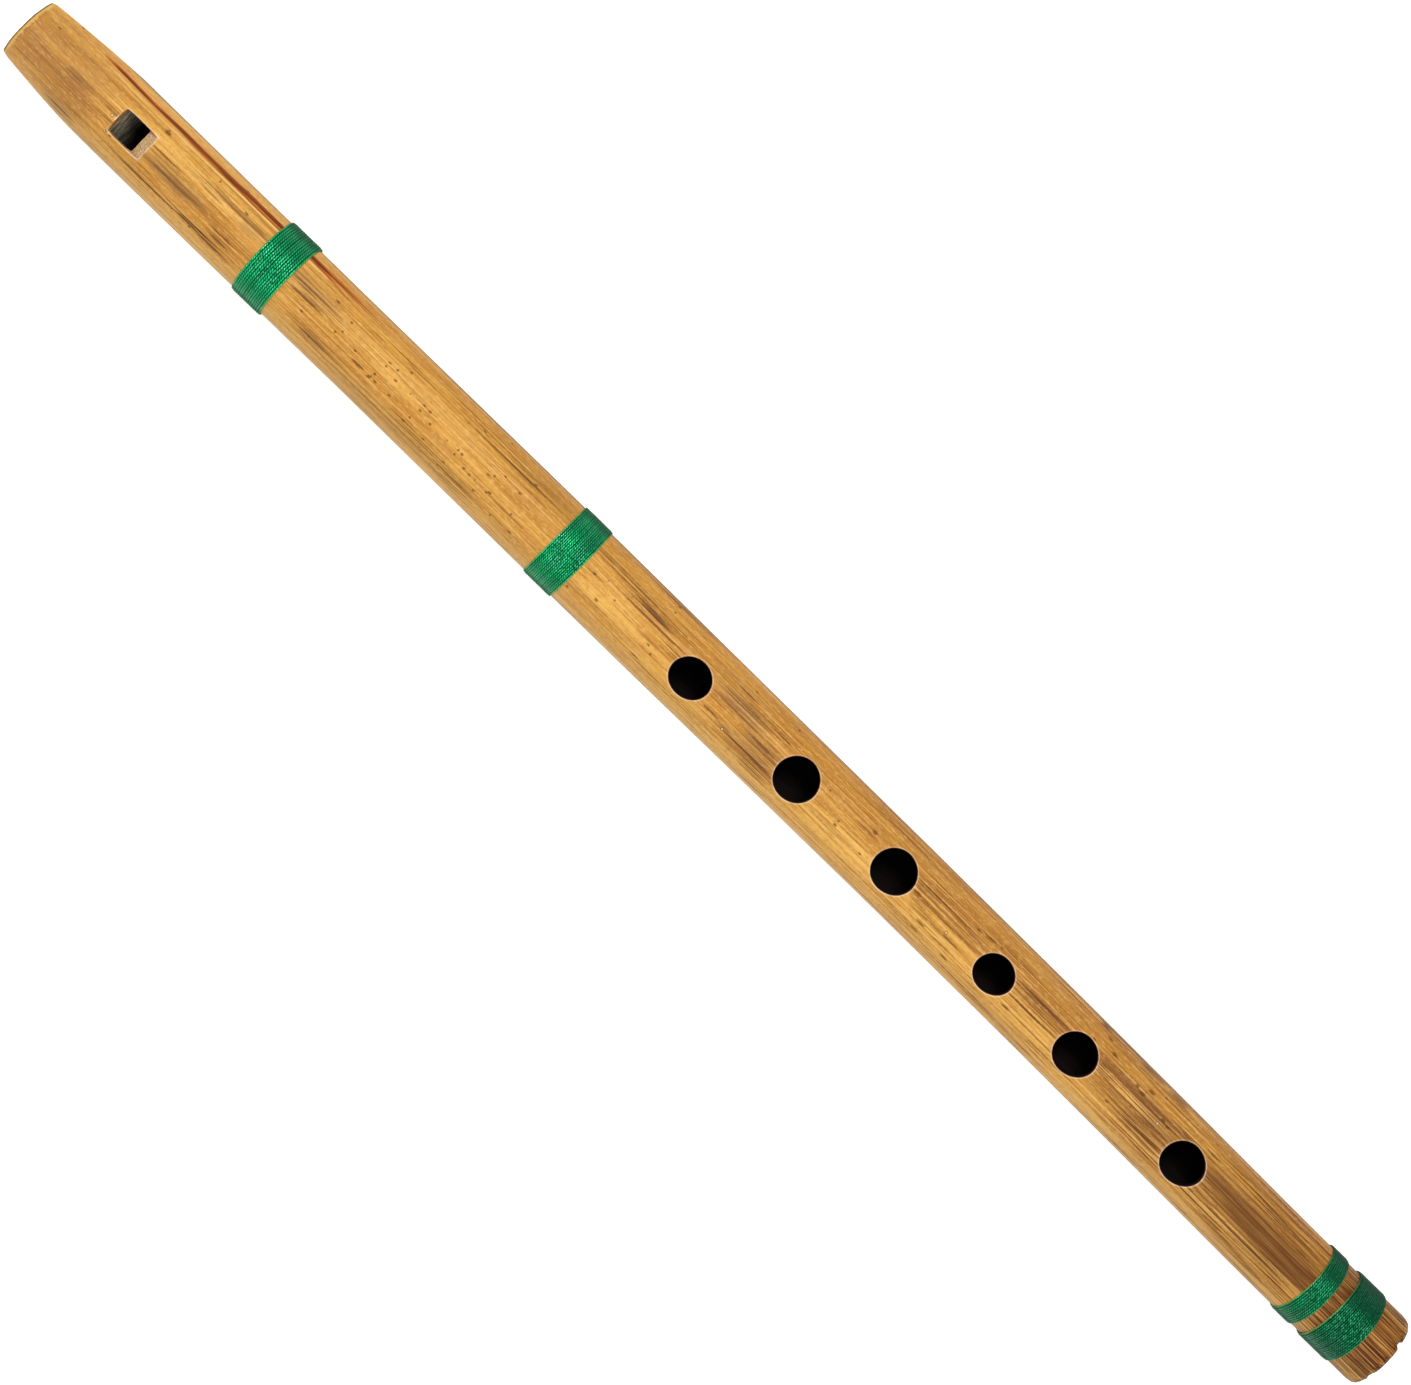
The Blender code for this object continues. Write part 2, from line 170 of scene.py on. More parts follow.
# Grooves along the cane: half width of the valley, then distance from the tip, offset, depth
GROOVES = (
    (0.3, (
        (13, 6.5, 0.0), (16, 6.5, 0.08), (19, 6.53, 0.16), (23, 6.45, 0.13), (27, 6.37, 0.13),
        (34, 6.44, 0.18), (41, 6.39, 0.2), (48, 6.4, 0.2), (52, 6.5, 0.22), (58, 6.48, 0.22),
        (68, 6.45, 0.16), (72, 6.54, 0.12), (78, 6.55, 0.06), (90, 6.6, 0.0),
    )),
    (0.22, (
        (34, 6.1, 0.0), (38, 6.1, 0.1), (45, 6.07, 0.12), (52, 5.97, 0.12), (58, 5.95, 0.14),
        (68, 6.07, 0.14), (71, 6.01, 0.14), (74, 5.83, 0.12), (77.5, 5.63, 0.08), (88, 5.5, 0.0),
    )),
    (0.16, (
        (12, 7.25, 0.0), (17, 7.2, 0.05), (24, 7.1, 0.06), (40, 7.05, 0.05), (60, 7.0, 0.06), (80, 7.2, 0.0),
    )),
)


def groove_shape(d, turn):
    """Depth of the grooves, and their tone: 1 in a valley, 0.4 where it is red, below 0 on its lips.

    Each valley is a bell curve across a line that wanders a little. The first one lies in a
    wide stain between two pale lips.
    """
    depth, tone = 0.0, 0.0
    for number, (half, line) in enumerate(GROOVES):
        places, offsets, depths = zip(*line)
        middle = np.arcsin(np.interp(d, places, offsets) / (CANE_RADIUS + 0.05))
        middle = middle + 0.01 * ripple(71 + number, d, 0.0, 6.0, 3)
        across = (turn - middle) * CANE_RADIUS
        own = np.interp(d, places, depths) * (1 + 0.25 * ripple(74 + number, d, 0.0, 3.0, 3))
        depth = depth + own * bell(across / half)
        if number == 0:
            stain = bell((across - 0.3) / 0.62, 4)
            lips = bell((across + 1.35) / 0.24) + 0.8 * bell((across - 0.95) / 0.2)
            tone = own * (3.2 * stain - 3.4 * lips)
    return depth, np.clip(tone + depth / 0.17, -1, 1)


def cane_radius(d):
    return CANE_RADIUS + eased(d, CANE_SWELL)


def cane_surface(d, turn):
    """Outer radius of the cane at a place.

    The swell of the cane, a slight out-of-round, bundles of fibres that rise and fall round
    it, the grooves, the sanded edge at the tip, which reaches back fibre by fibre, and the
    ridges and the worn edge at the foot.
    """
    radius = cane_radius(d) - groove_shape(d, turn)[0]
    for seed, height, length, count in CANE_WAVES:
        radius = radius + height * ripple(seed, d, turn, length, count)
    ridge = np.abs(ripple(14, d, turn, 30.0, 52)) + 0.6 * np.abs(ripple(15, d, turn, 16.0, 110))
    rough = 0.08 * smooth_step(d, 318, 328) + 0.11 * smooth_step(d, 340, 347)
    radius = radius + 0.13 * smooth_step(d, 338, 345) - rough * np.clip(0.75 - ridge, 0, 1)
    sanded = 1.3 + 0.5 * ripple(31, 5.0, turn, 10.0, 170) + 0.2 * ripple(32, 5.0, turn, 10.0, 24)
    tip = np.clip(1.0 - (d - TIP_END) / sanded, 0, 1)
    tip = tip * (0.3 + 0.7 * smooth_step(np.abs(turn), 0.95, 0.6))
    radius = radius - 0.6 * tip - 0.15 * np.clip(1 - (d - TIP_END) / 0.4, 0, 1) ** 2
    foot = np.clip((d - (LENGTH - 1.6)) / 1.6, 0, 1)
    return radius - (0.42 + 0.14 * np.sin(turn)) * (1 - np.sqrt(1 - 0.98 * foot**2))


# Chips in the rim at the foot: angle from the top in degrees, half width in mm, depth
FOOT_CHIPS = ((-29, 1.0, 0.28), (33, 0.75, 0.62), (140, 1.5, 0.8), (-118, 0.8, 0.4))


def foot_end(turn):
    """Where the cane ends at the foot: an uneven cut with a few chips."""
    end = LENGTH + 0.08 - 0.04 * ripple(41, 5.0, turn, 10.0, 40)
    for degrees, half, depth in FOOT_CHIPS:
        away = np.angle(np.exp(1j * (turn - radians(degrees)))) * CANE_RADIUS / half
        end = end - depth * bell(away, 4)
    return end


# How far the tip's cut draws back from straight, by the offset towards +Y
TIP_SLANT = ((-8, 0.0), (-4, -0.1), (-2, 0.0), (0, 0.08), (3, 0.14), (5, 0.28), (6.2, 0.5), (8, 0.75))


def slanted(d, across):
    """Distance from the tip after the slant of its cut, which fades out within 5 mm."""
    fade = np.clip(1 - (d - TIP_END) / 5.0, 0, 1)
    return d + np.interp(across, *zip(*TIP_SLANT)) * fade


def stacked(*columns):
    """Arrays side by side, as one row of numbers for each point."""
    return np.stack(np.broadcast_arrays(*columns), -1)


def spun(d, radius, turn):
    """Places given by distance, radius and angle, as distances and offsets from the axis."""
    return stacked(d, radius * np.sin(turn), radius * np.cos(turn))


def border(grid):
    """The numbers round a grid's edge, as a closed loop."""
    return np.concatenate([grid[0, :-1], grid[:-1, -1], grid[-1, :0:-1], grid[:0:-1, 0]])


def new_object(name, data):
    made = bpy.data.objects.new(name, data)
    bpy.context.scene.collection.objects.link(made)
    return made


class Skin:
    """Points and faces of a piece in the making. Its points are known by their numbers."""

    def __init__(self):
        self.places, self.faces, self.count = [], [], 0

    def add(self, places):
        """Adds points by their distances and offsets, and returns a like grid of their numbers."""
        numbers = np.arange(places.size // 3).reshape(places.shape[:-1]) + self.count
        self.places.append(places.reshape(-1, 3))
        self.count += numbers.size
        return numbers

    def cover(self, faces, flip=False):
        """Adds faces, one row of numbers each, and turns them over if asked."""
        self.faces += (faces[:, ::-1] if flip else faces).tolist()

    def join(self, first, second, flip=False):
        """Covers the gap between two closed rings of equal length."""
        self.cover(np.stack([first, np.roll(first, -1), np.roll(second, -1), second], -1), flip)

    def tunnel(self, ring, rings, flip=False):
        """Adds closed rings of points in turn, each joined to the one before."""
        for places in rings:
            following = self.add(places)
            self.join(ring, following, flip)
            ring = following
        return ring

    def finish(self, name, materials):
        """Mesh object along the bowed axis, in metres, shaded smooth."""
        d, across, up = np.concatenate(self.places).T
        points = np.stack([d - LENGTH / 2, across + bow(d), up + axis_height(d)], -1)
        mesh = bpy.data.meshes.new(name)
        mesh.from_pydata(points * MM, [], self.faces)
        mesh.validate()
        for material in materials:
            mesh.materials.append(material)
        mesh.shade_smooth()
        return new_object(name, mesh)


def settle(piece, cutter=None):
    """Weld a piece's seams, and cut it with another object if there is one."""
    shape = bmesh.new()
    shape.from_mesh(piece.data)
    bmesh.ops.remove_doubles(shape, verts=shape.verts, dist=0.002 * MM)
    bmesh.ops.recalc_face_normals(shape, faces=shape.faces)
    shape.to_mesh(piece.data)
    shape.free()
    if cutter:
        cut = piece.modifiers.new("cut", "BOOLEAN")
        cut.operation = "DIFFERENCE"
        cut.solver = "EXACT"
        cut.object = cutter
        depsgraph = bpy.context.evaluated_depsgraph_get()
        mesh = bpy.data.meshes.new_from_object(piece.evaluated_get(depsgraph))
        piece.modifiers.clear()
        piece.data = mesh
    piece.data.shade_smooth()
    piece.data.set_sharp_from_angle(angle=radians(38))
    return piece


def vectors(parts, kind):
    """One kind of vector of a mesh's points or faces, a row each."""
    values = np.empty(len(parts) * 3)
    parts.foreach_get(kind, values)
    return values.reshape(-1, 3)


def straightened(points):
    """Points in metres as distances from the tip and offsets from the bowed axis, in mm."""
    x, y, z = points.T / MM
    d = x + LENGTH / 2
    return np.stack([d, y - bow(d), z - axis_height(d)], -1)


def store(piece, name, values):
    """Keep three numbers a point on the mesh, for its material to read."""
    kept = piece.data.attributes.new(name, "FLOAT_VECTOR", "POINT")
    kept.data.foreach_set("vector", np.ascontiguousarray(values, np.float32).ravel())


def ring_places(middles, reach, cells, spacing, start, end):
    """Distances of a wall's rings, and the first ring of each opening's patch.

    Each patch has `2 * cells` even steps over `reach` both ways. Between the patches the
    steps are as near to `spacing` as fits.
    """
    places, firsts = list(start), []

    def step_to(goal, steps=None):
        steps = steps or max(1, round((goal - places[-1]) / spacing))
        places.extend(np.linspace(places[-1], goal, steps + 1)[1:])

    for middle in middles:
        step_to(middle - reach)
        firsts.append(len(places) - 1)
        step_to(middle + reach, 2 * cells)
    step_to(end[0])
    return np.array(places + list(end[1:])), firsts


def rim_outline(opening, edge_u, edge_v):
    """Plan of an opening's rim for places on a square's edge, as offsets along and across.

    A round hole takes the square's sides as arcs. A window keeps it as a rectangle.
    """
    middle, half_along, half_across, aside, is_round = opening
    if not is_round:
        corner = 1 - 0.055 * (np.abs(edge_u) * np.abs(edge_v)) ** 5
        return middle + edge_u * half_along * corner, aside + edge_v * half_across * corner
    facing_along = np.abs(edge_u) >= np.abs(edge_v)
    side = np.where(edge_u >= 0, 0.0, pi)
    turn_along = side + np.where(edge_u >= 0, 1, -1) * edge_v * radians(90 - RIM_SIDE)
    turn_across = np.sign(edge_v) * (pi / 2 - edge_u * radians(RIM_SIDE))
    angle = np.where(facing_along, turn_along, turn_across)
    return middle + half_along * np.cos(angle), aside + half_across * np.sin(angle)


def open_wall(openings, radius, columns, half, reach, spacing, start, end):
    """Grid of a tube's wall with its openings left out.

    Rings and columns form a plain grid. Inside each patch, square frames round the opening
    change step by step from the patch's border to the opening's rim, seen in plan. Returns
    the distance and the angle of each point, then the faces and each rim's loop by the
    points' places in the grid.
    """
    (half_rows, half_columns), (inner_rows, inner_columns) = half, RIM_CELLS
    rings, firsts = ring_places([o[0] for o in openings], reach, half_rows, spacing, start, end)
    top = columns // 2
    d = np.repeat(rings[:, None], columns, 1)
    turn = np.repeat(((np.arange(columns) - top) * 2 * pi / columns)[None], len(rings), 0)
    index = np.arange(d.size).reshape(d.shape)
    keep = np.ones((len(rings) - 1, columns), bool)
    loops = []
    u, v = np.linspace(-1, 1, 2 * half_rows + 1)[:, None], np.linspace(-1, 1, 2 * half_columns + 1)
    size = np.maximum(np.maximum(np.abs(u), np.abs(v)), 1e-6)
    edge_u, edge_v = u / size, v / size
    hollow = inner_rows / half_rows
    share = np.clip((size - hollow) / (1 - hollow), 0, 1) ** 1.5
    for first, opening in zip(firsts, openings):
        last = first + 2 * half_rows
        patch = slice(first, last + 1), slice(top - half_columns, top + half_columns + 1)
        rim_d, rim_y = rim_outline(opening, edge_u, edge_v)
        border_d = (rings[first] + rings[last]) / 2 + edge_u * (rings[last] - rings[first]) / 2
        border_y = radius(border_d) * np.sin(edge_v * half_columns * 2 * pi / columns)
        plan_d = rim_d + share * (border_d - rim_d)
        plan_y = rim_y + share * (border_y - rim_y)
        d[patch] = plan_d
        turn[patch] = np.arcsin(np.clip(plan_y / radius(plan_d), -1, 1))
        low_row, high_row = first + half_rows - inner_rows, first + half_rows + inner_rows
        low, high = top - inner_columns, top + inner_columns
        keep[low_row:high_row, low:high] = False
        loops.append(border(index[low_row : high_row + 1, low : high + 1]))
    following = np.roll(index, -1, 1)
    quads = np.stack([index[:-1], following[:-1], following[1:], index[1:]], -1)
    return d, turn, quads[keep], loops


def wall_openings(window_end):
    """Window and holes of a wall: middle, half length, half width, offset, and if it is round."""
    window = ((WINDOW_START + window_end) / 2, (window_end - WINDOW_START) / 2, WINDOW_HALF, 0.0, False)
    return [window] + [(d, long / 2, wide / 2, aside, True) for d, long, wide, aside in FINGER_HOLES]


def outer_wall():
    """The outside of the cane, where each opening is wider by the rounding of its rim."""
    openings = [
        (middle, along + ROUNDING, across + ROUNDING, *rest)
        for middle, along, across, *rest in wall_openings(LIP_TOP)
    ]
    d, turn, faces, loops = open_wall(
        openings, cane_radius, OUTER_COLUMNS, half=(9, 36), reach=7.2, spacing=1.75,
        start=TIP_RINGS, end=FOOT_RINGS,
    )
    radius = cane_surface(d, turn)
    stretched = FOOT_CUT + (d - FOOT_CUT) * (foot_end(turn) - FOOT_CUT) / (LENGTH - FOOT_CUT)
    d = np.where(d > FOOT_CUT, stretched, d)
    return spun(slanted(d, radius * np.sin(turn)), radius, turn), faces, loops


def bore_wall():
    """The bore: slightly wavy, and flared at both ends."""
    d, turn, faces, loops = open_wall(
        wall_openings(LIP_EDGE), lambda d: BORE_RADIUS, BORE_COLUMNS, half=(4, 16), reach=5.6,
        spacing=6.0, start=(TIP_END, TIP_END + TIP_FLARE), end=(348.0, BORE_END - FOOT_FLARE, BORE_END),
    )
    flare = np.clip(1 - (d - TIP_END) / TIP_FLARE, 0, 1)
    flare = flare + np.clip(1 - (BORE_END - d) / FOOT_FLARE, 0, 1)
    radius = BORE_RADIUS + 0.03 * ripple(51, d, turn, 30.0, 9) + 0.15 * flare
    return spun(slanted(d, radius * np.sin(turn)), radius, turn), faces, loops


def make_cane(materials, cutter):
    """The cane: outer wall, bore, ends, and the walls of the window and the finger holes."""
    skin = Skin()
    outer_places, faces, loops = outer_wall()
    outer = skin.add(outer_places)
    skin.cover(outer.ravel()[faces])
    bore_places, faces, bore_loops = bore_wall()
    bore = skin.add(bore_places)
    skin.cover(bore.ravel()[faces], flip=True)

    # Each rim rolls over and goes down to the bore's rim
    for opening, loop, bore_loop in zip(wall_openings(LIP_TOP), loops, bore_loops):
        middle, along, across, aside, _ = opening
        top, bottom = outer_places.reshape(-1, 3)[loop], bore_places.reshape(-1, 3)[bore_loop]
        centre = np.array([middle, aside])
        wide = top[:, :2] - centre
        narrow = wide * (along / (along + ROUNDING), across / (across + ROUNDING))
        rings = [
            np.column_stack([centre + narrow + (wide - narrow) * share, top[:, 2] - drop])
            for share, drop in RIM_ROLL
        ]
        rings += [rings[-1] + (bottom - rings[-1]) * share for share in (0.25, 0.5, 0.75)]
        last = skin.tunnel(outer.ravel()[loop], rings, flip=True)
        skin.join(last, bore.ravel()[bore_loop], flip=True)

    # End faces: rings of full count near the bore, then faces that share each bore point
    step = OUTER_COLUMNS // BORE_COLUMNS
    for row, is_foot in ((0, False), (-1, True)):
        edge, hole = outer_places[row], np.repeat(bore_places[row], step, 0)
        turn = np.arctan2(edge[:, 1], edge[:, 2])
        edge_radius = np.hypot(edge[:, 1], edge[:, 2])
        hole_radius = np.hypot(hole[:, 1], hole[:, 2])
        rings = []
        for share in (0.2, 0.5, 0.8):
            d = edge[:, 0] + (hole[:, 0] - edge[:, 0]) * share
            if is_foot:
                d = d + 0.05 * ripple(61 + int(10 * share), 5.0, turn, 10.0, 90)
            rings.append(spun(d, edge_radius + (hole_radius - edge_radius) * share, turn))
        last = skin.tunnel(outer[row], rings, flip=not is_foot)
        many = [np.roll(last, -m)[::step] for m in range(step + 1)]
        few = [np.roll(bore[row], -1), bore[row]]
        skin.cover(np.stack(many + few, -1), flip=not is_foot)
    return settle(skin.finish("cane", materials), cutter)


def beak_line(d):
    """Height of the beak's long part: a straight slope, rounded a little by a square term."""
    return BEAK_TIP_HEIGHT - BEAK_SLOPE * d - BEAK_ROUNDING * np.abs(d) * d


def beak_height(d):
    """Height of the beak's cut above the axis: the long part, a bend, and a steep end."""
    bend_slope = np.arctan(BEAK_SLOPE + 2 * BEAK_ROUNDING * BEAK_FLAT_LENGTH)
    centre_d = BEAK_FLAT_LENGTH - BEAK_BEND_RADIUS * sin(bend_slope)
    centre_z = beak_line(BEAK_FLAT_LENGTH) - BEAK_BEND_RADIUS * cos(bend_slope)
    bend = centre_z + np.sqrt(np.clip(BEAK_BEND_RADIUS**2 - (d - centre_d) ** 2, 0, None))
    bend_end = centre_d + BEAK_BEND_RADIUS * sin(BEAK_END_SLOPE)
    end_height = centre_z + BEAK_BEND_RADIUS * cos(BEAK_END_SLOPE)
    steep = end_height - (d - bend_end) * tan(BEAK_END_SLOPE)
    return np.where(d < BEAK_FLAT_LENGTH, beak_line(d), np.where(d < bend_end, bend, steep))


def make_beak_cutter():
    """What is carved from the underside: the beak's line carried across, with slight tool waves."""
    d = np.concatenate([np.linspace(-3, 16, 20), np.linspace(17, 36, 39)])
    d, y = np.meshgrid(d, np.linspace(-11, 11, 23), indexing="ij")
    height = beak_height(d) + 0.025 * ripple(81, d + 5, y * 0.3, 7.0, 9)
    skin = Skin()
    upper, lower = skin.add(stacked(d, y, height)), skin.add(stacked(d, y, -40.0))
    for sheet, flip in ((upper, False), (lower, True)):
        quads = np.stack([sheet[:-1, :-1], sheet[1:, :-1], sheet[1:, 1:], sheet[:-1, 1:]], -1)
        skin.cover(quads.reshape(-1, 4), flip)
    skin.join(border(upper), border(lower))
    cutter = skin.finish("beak_cutter", [])
    cutter.hide_render = True
    return settle(cutter)


def raked_end(up):
    """Where the block ends at a height: a straight slant from its planed top to its underside."""
    return BLOCK_LONG + (BLOCK_SHORT - BLOCK_LONG) * (up + BLOCK_RADIUS) / (WINDWAY_FLOOR + BLOCK_RADIUS)


def make_block(materials, cutter):
    """Plug in the bore: a round bar with a flat planed top and a raked end."""
    half = np.arccos(WINDWAY_FLOOR / BLOCK_RADIUS)
    turn = np.linspace(half, 2 * pi - half, 97)
    flat = np.linspace(-1, 1, 22)[1:-1] * BLOCK_RADIUS * sin(half)
    across = np.concatenate([BLOCK_RADIUS * np.sin(turn), flat])
    up = np.concatenate([BLOCK_RADIUS * np.cos(turn), np.full(len(flat), WINDWAY_FLOOR)])
    share = np.concatenate([np.linspace(0, 0.96, 40), [0.98, 0.992, 1.0]])[:, None]
    d = slanted(BLOCK_START + share * (raked_end(up) - BLOCK_START), across)
    shrink = 1 - 0.02 * smooth_step(share, 0.985, 1.0)
    wall = stacked(d, across * shrink, up * shrink)
    skin = Skin()
    first = skin.add(wall[0])
    last = skin.tunnel(first, wall[1:])
    # The ends are closed by rings that shrink towards the middle
    for ring, at_end in ((first, False), (last, True)):
        rings = []
        for size in (0.75, 0.5, 0.25, 0.02):
            y, z = across * size * 0.98, up * size * 0.98
            rough = raked_end(z) + 0.04 * ripple(91, y * 3 + 40, z * 0.5, 3.0, 40)
            rings.append(stacked(rough if at_end else slanted(BLOCK_START, y), y, z))
        middle = skin.tunnel(ring, rings, flip=not at_end)
        skin.cover(middle[None], flip=not at_end)
    return settle(skin.finish("windway_block", materials), cutter)


def edge_line(place, lean, draw, angle):
    """An edge of a binding, which leans to one side and draws back at both."""
    return place + lean * np.sin(angle) + draw * np.sin(angle) ** 2


def add_sleeve(skin, binding, inset):
    """Inner layers under a binding: a ring with a flat section, closed all round."""
    start, end, outer, height, _, _, (lean, draw, end_lean, end_draw) = binding
    turn = np.linspace(0, 2 * pi, SLEEVE_STEPS + 1)[:-1, None]
    first = edge_line(start + inset, lean, draw, turn)
    last = edge_line(end - inset, end_lean, end_draw, turn)
    cells = skin.add(spun(first + (last - first) * SLEEVE_ALONG, outer - height * SLEEVE_DEPTH, turn))
    after, above = np.roll(cells, -1, 0), np.roll(cells, -1, 1)
    skin.cover(np.stack([cells, after, np.roll(after, -1, 1), above], -1).reshape(-1, 4))
    return cells.size


def wound_thread(name, binding, material, seed):
    """One thread wound tight from edge to edge, over a plain sleeve of inner layers.

    Its middle follows a screw line whose turns touch. Its section is a flattened oval whose
    radius swells twice round it, and the swell turns along the thread, as in two strands
    twisted together. Both ends dive under the cane's surface and are closed.
    """
    start, end, outer, height, pitch, tone, (lean, draw, end_lean, end_draw) = binding
    turns = round((end - start) / pitch)
    width = (end - start) / turns
    rng = np.random.default_rng(seed)
    s = np.linspace(0.0, turns, turns * THREAD_STEPS + 1)
    angle = 2 * pi * s + pi

    def drift(count):
        """Random values from -1 to 1, `count` in a turn, with straight lines between them."""
        values = rng.uniform(-1, 1, count * turns + 1)
        return np.interp(s * count, np.arange(count * turns + 1), values)

    low, high = edge_line(start, lean, draw, angle), edge_line(end, end_lean, end_draw, angle)
    wander = np.convolve(drift(3), np.hanning(91) / np.hanning(91).sum(), mode="same")
    d = low + (high - low) * s / turns + 0.035 * wander
    sink = smooth_step(s, 0.09, 0.0) + smooth_step(s, turns - 0.09, turns)
    shoulder = smooth_step(np.minimum(d - low, high - d), 0.55, 0.0)
    path = outer - height / 2 - 0.02 + 0.016 * drift(4) - 0.8 * sink - 0.09 * shoulder
    phi = THREAD_SECTION
    twist = 2 * pi * s * THREAD_TWISTS + 0.8 * wander
    swell = 1.0 + 0.08 * np.cos(2 * (phi - twist[:, None]))
    wide, tall = (np.sign(part) * np.abs(part) ** 0.8 for part in (np.cos(phi), np.sin(phi)))
    place_d = d[:, None] + 0.53 * width * swell * wide
    reach = path[:, None] + 0.5 * height * swell * tall
    skin = Skin()
    tube = skin.add(spun(place_d, reach, angle[:, None]))
    following = np.roll(tube, -1, 1)
    skin.cover(np.stack([tube[:-1], tube[1:], following[1:], following[:-1]], -1).reshape(-1, 4))
    skin.cover(tube[:1])
    skin.cover(tube[-1:], flip=True)
    sleeve_points = add_sleeve(skin, binding, 0.35 * width)
    piece = skin.finish(name, [material])

    # For the material: how near the binding's edge, how light, how high on the thread, then
    # the angles round the thread and of its twist, and how much painted shade it takes on its sides
    outward = np.clip(np.where(s < turns / 2, -1, 1)[:, None] * np.cos(phi), 0, 1)
    outward = outward * smooth_step(np.abs(s - turns / 2), turns / 2 - 1.3, turns / 2 - 0.8)[:, None]
    shade = tone + 0.42 * drift(2)
    side = np.sin(angle)
    # Painted shade: darker towards +Y, a little towards -Y, darkest along the outline seen from above
    painted_side_shade = (0.38 + 0.22 * (start > NEAR_FOOT)) * smooth_step(side, 0.05, 0.65)
    painted_side_shade = painted_side_shade + 0.24 * smooth_step(-side, 0.3, 0.8) + 0.45 * smooth_step(np.abs(side), 0.82, 0.98)
    winding = stacked(outward, shade[:, None], np.sin(phi)).reshape(-1, 3)
    strands = stacked(phi, twist[:, None], painted_side_shade[:, None]).reshape(-1, 3)
    on_sleeve = np.tile([0.0, -1.0, 0.0], (sleeve_points, 1))
    store(piece, "winding", np.concatenate([winding, on_sleeve]))
    store(piece, "strands", np.concatenate([strands, 0 * on_sleeve]))
    return piece


def srgb(red, green, blue):
    """Colour from its 0 to 255 numbers on screen."""
    value = np.array([red, green, blue]) / 255
    linear = np.where(value <= 0.04045, value / 12.92, ((value + 0.055) / 1.055) ** 2.4)
    return (*linear.tolist(), 1.0)


class Finish:
    """The nodes of a material or of the world in the making, with short calls for them."""

    def __init__(self, owner, shader="Principled BSDF"):
        owner.use_nodes = True
        self.owner, self.tree = owner, owner.node_tree
        self.shader = self.tree.nodes[shader]

    def feed(self, socket, value):
        if isinstance(value, bpy.types.NodeSocket):
            self.tree.links.new(value, socket)
        else:
            socket.default_value = value

    def put(self, kind, inputs, output=0, **settings):
        """Adds a node and returns one of its outputs."""
        node = self.tree.nodes.new(kind)
        for name, value in settings.items():
            setattr(node, name, value)
        for socket, value in inputs.items():
            self.feed(node.inputs[socket], value)
        return node.outputs[output]

    def read(self, name):
        """The three numbers that the mesh keeps under a name."""
        return self.put("ShaderNodeAttribute", {}, "Vector", attribute_name=name)

    def parts(self, vector):
        return self.put("ShaderNodeSeparateXYZ", {0: vector}).node.outputs[:]

    def stretched(self, place, stretch, shift):
        """Places multiplied along, across and up, where up is as across unless it is given."""
        scale = stretch[0], stretch[1], stretch[-1]
        return self.put("ShaderNodeMapping", {"Vector": place, "Location": shift, "Scale": scale})

    def noise(self, place, stretch, detail=2.0, shift=0.0, roughness=0.5):
        """Noise with `stretch` counts a millimetre along and across."""
        mapped = self.stretched(place, stretch, (shift, shift * 0.7, shift * 1.3))
        inputs = {"Vector": mapped, "Scale": 1.0, "Detail": detail, "Roughness": roughness}
        return self.put("ShaderNodeTexNoise", inputs)

    def dots(self, place, stretch, shift):
        """Distance from the nearest of many scattered points."""
        mapped = self.stretched(place, stretch, (shift, shift, shift))
        return self.put("ShaderNodeTexVoronoi", {"Vector": mapped, "Scale": 1.0})

    def level(self, value, low, high, start=0.0, end=1.0):
        """`start` below `low`, `end` above `high`, with a smooth S between."""
        inputs = {"Value": value, "From Min": low, "From Max": high, "To Min": start, "To Max": end}
        return self.put("ShaderNodeMapRange", inputs, interpolation_type="SMOOTHSTEP")

    def maths(self, operation, made, *others):
        """Takes values together in turn. A function of one value is given a second, unused 0."""
        for other in others:
            made = self.put("ShaderNodeMath", {0: made, 1: other}, operation=operation)
        return made

    def times(self, *values):
        """Product of values, where a tuple stands for the level that it describes."""
        made = [self.level(*value) if isinstance(value, tuple) else value for value in values]
        return self.maths("MULTIPLY", *made)

    def mix(self, amount, first, second):
        return self.put("ShaderNodeMix", {0: amount, 6: first, 7: second}, 2, data_type="RGBA")

    def tinted(self, colour, *layers):
        """Lays tones over a colour in turn, each by the product of the amounts behind it."""
        for tone, *amounts in layers:
            colour = self.mix(self.times(*amounts), colour, srgb(*tone))
        return colour

    def reach(self, name):
        """How far a point is from its nearest mark of a set, in half sizes, and 1 near it."""
        kept = self.read(name)
        flat = self.put("ShaderNodeVectorMath", {0: kept, 1: (1, 1, 0)}, operation="MULTIPLY")
        away = self.put("ShaderNodeVectorMath", {0: flat}, "Value", operation="LENGTH")
        return away, self.level(self.parts(kept)[2], 0.7, 0.95)

    def spots(self, names, ragged):
        """1 inside the marks of some sets, 0 outside, with a ragged edge."""
        made = []
        for name in names:
            away, near = self.reach(name)
            edge = self.maths("ADD", away, self.times(ragged, 1.1))
            made.append(self.times((edge, 1.95, 1.15), near))
        return self.maths("MAXIMUM", *made)

    def bump(self, height, strength, distance):
        inputs = {"Height": height, "Strength": strength, "Distance": distance * MM}
        self.feed(self.shader.inputs["Normal"], self.put("ShaderNodeBump", inputs))

    def done(self, **inputs):
        for name, value in inputs.items():
            self.feed(self.shader.inputs[name.replace("_", " ")], value)
        return self.owner


# Sets of dark marks and of faint ones that the cane's mesh keeps
DARK_SETS = ("mark_a", "mark_b", "mark_c")
FAINT_SETS = ("faint_a", "faint_b")


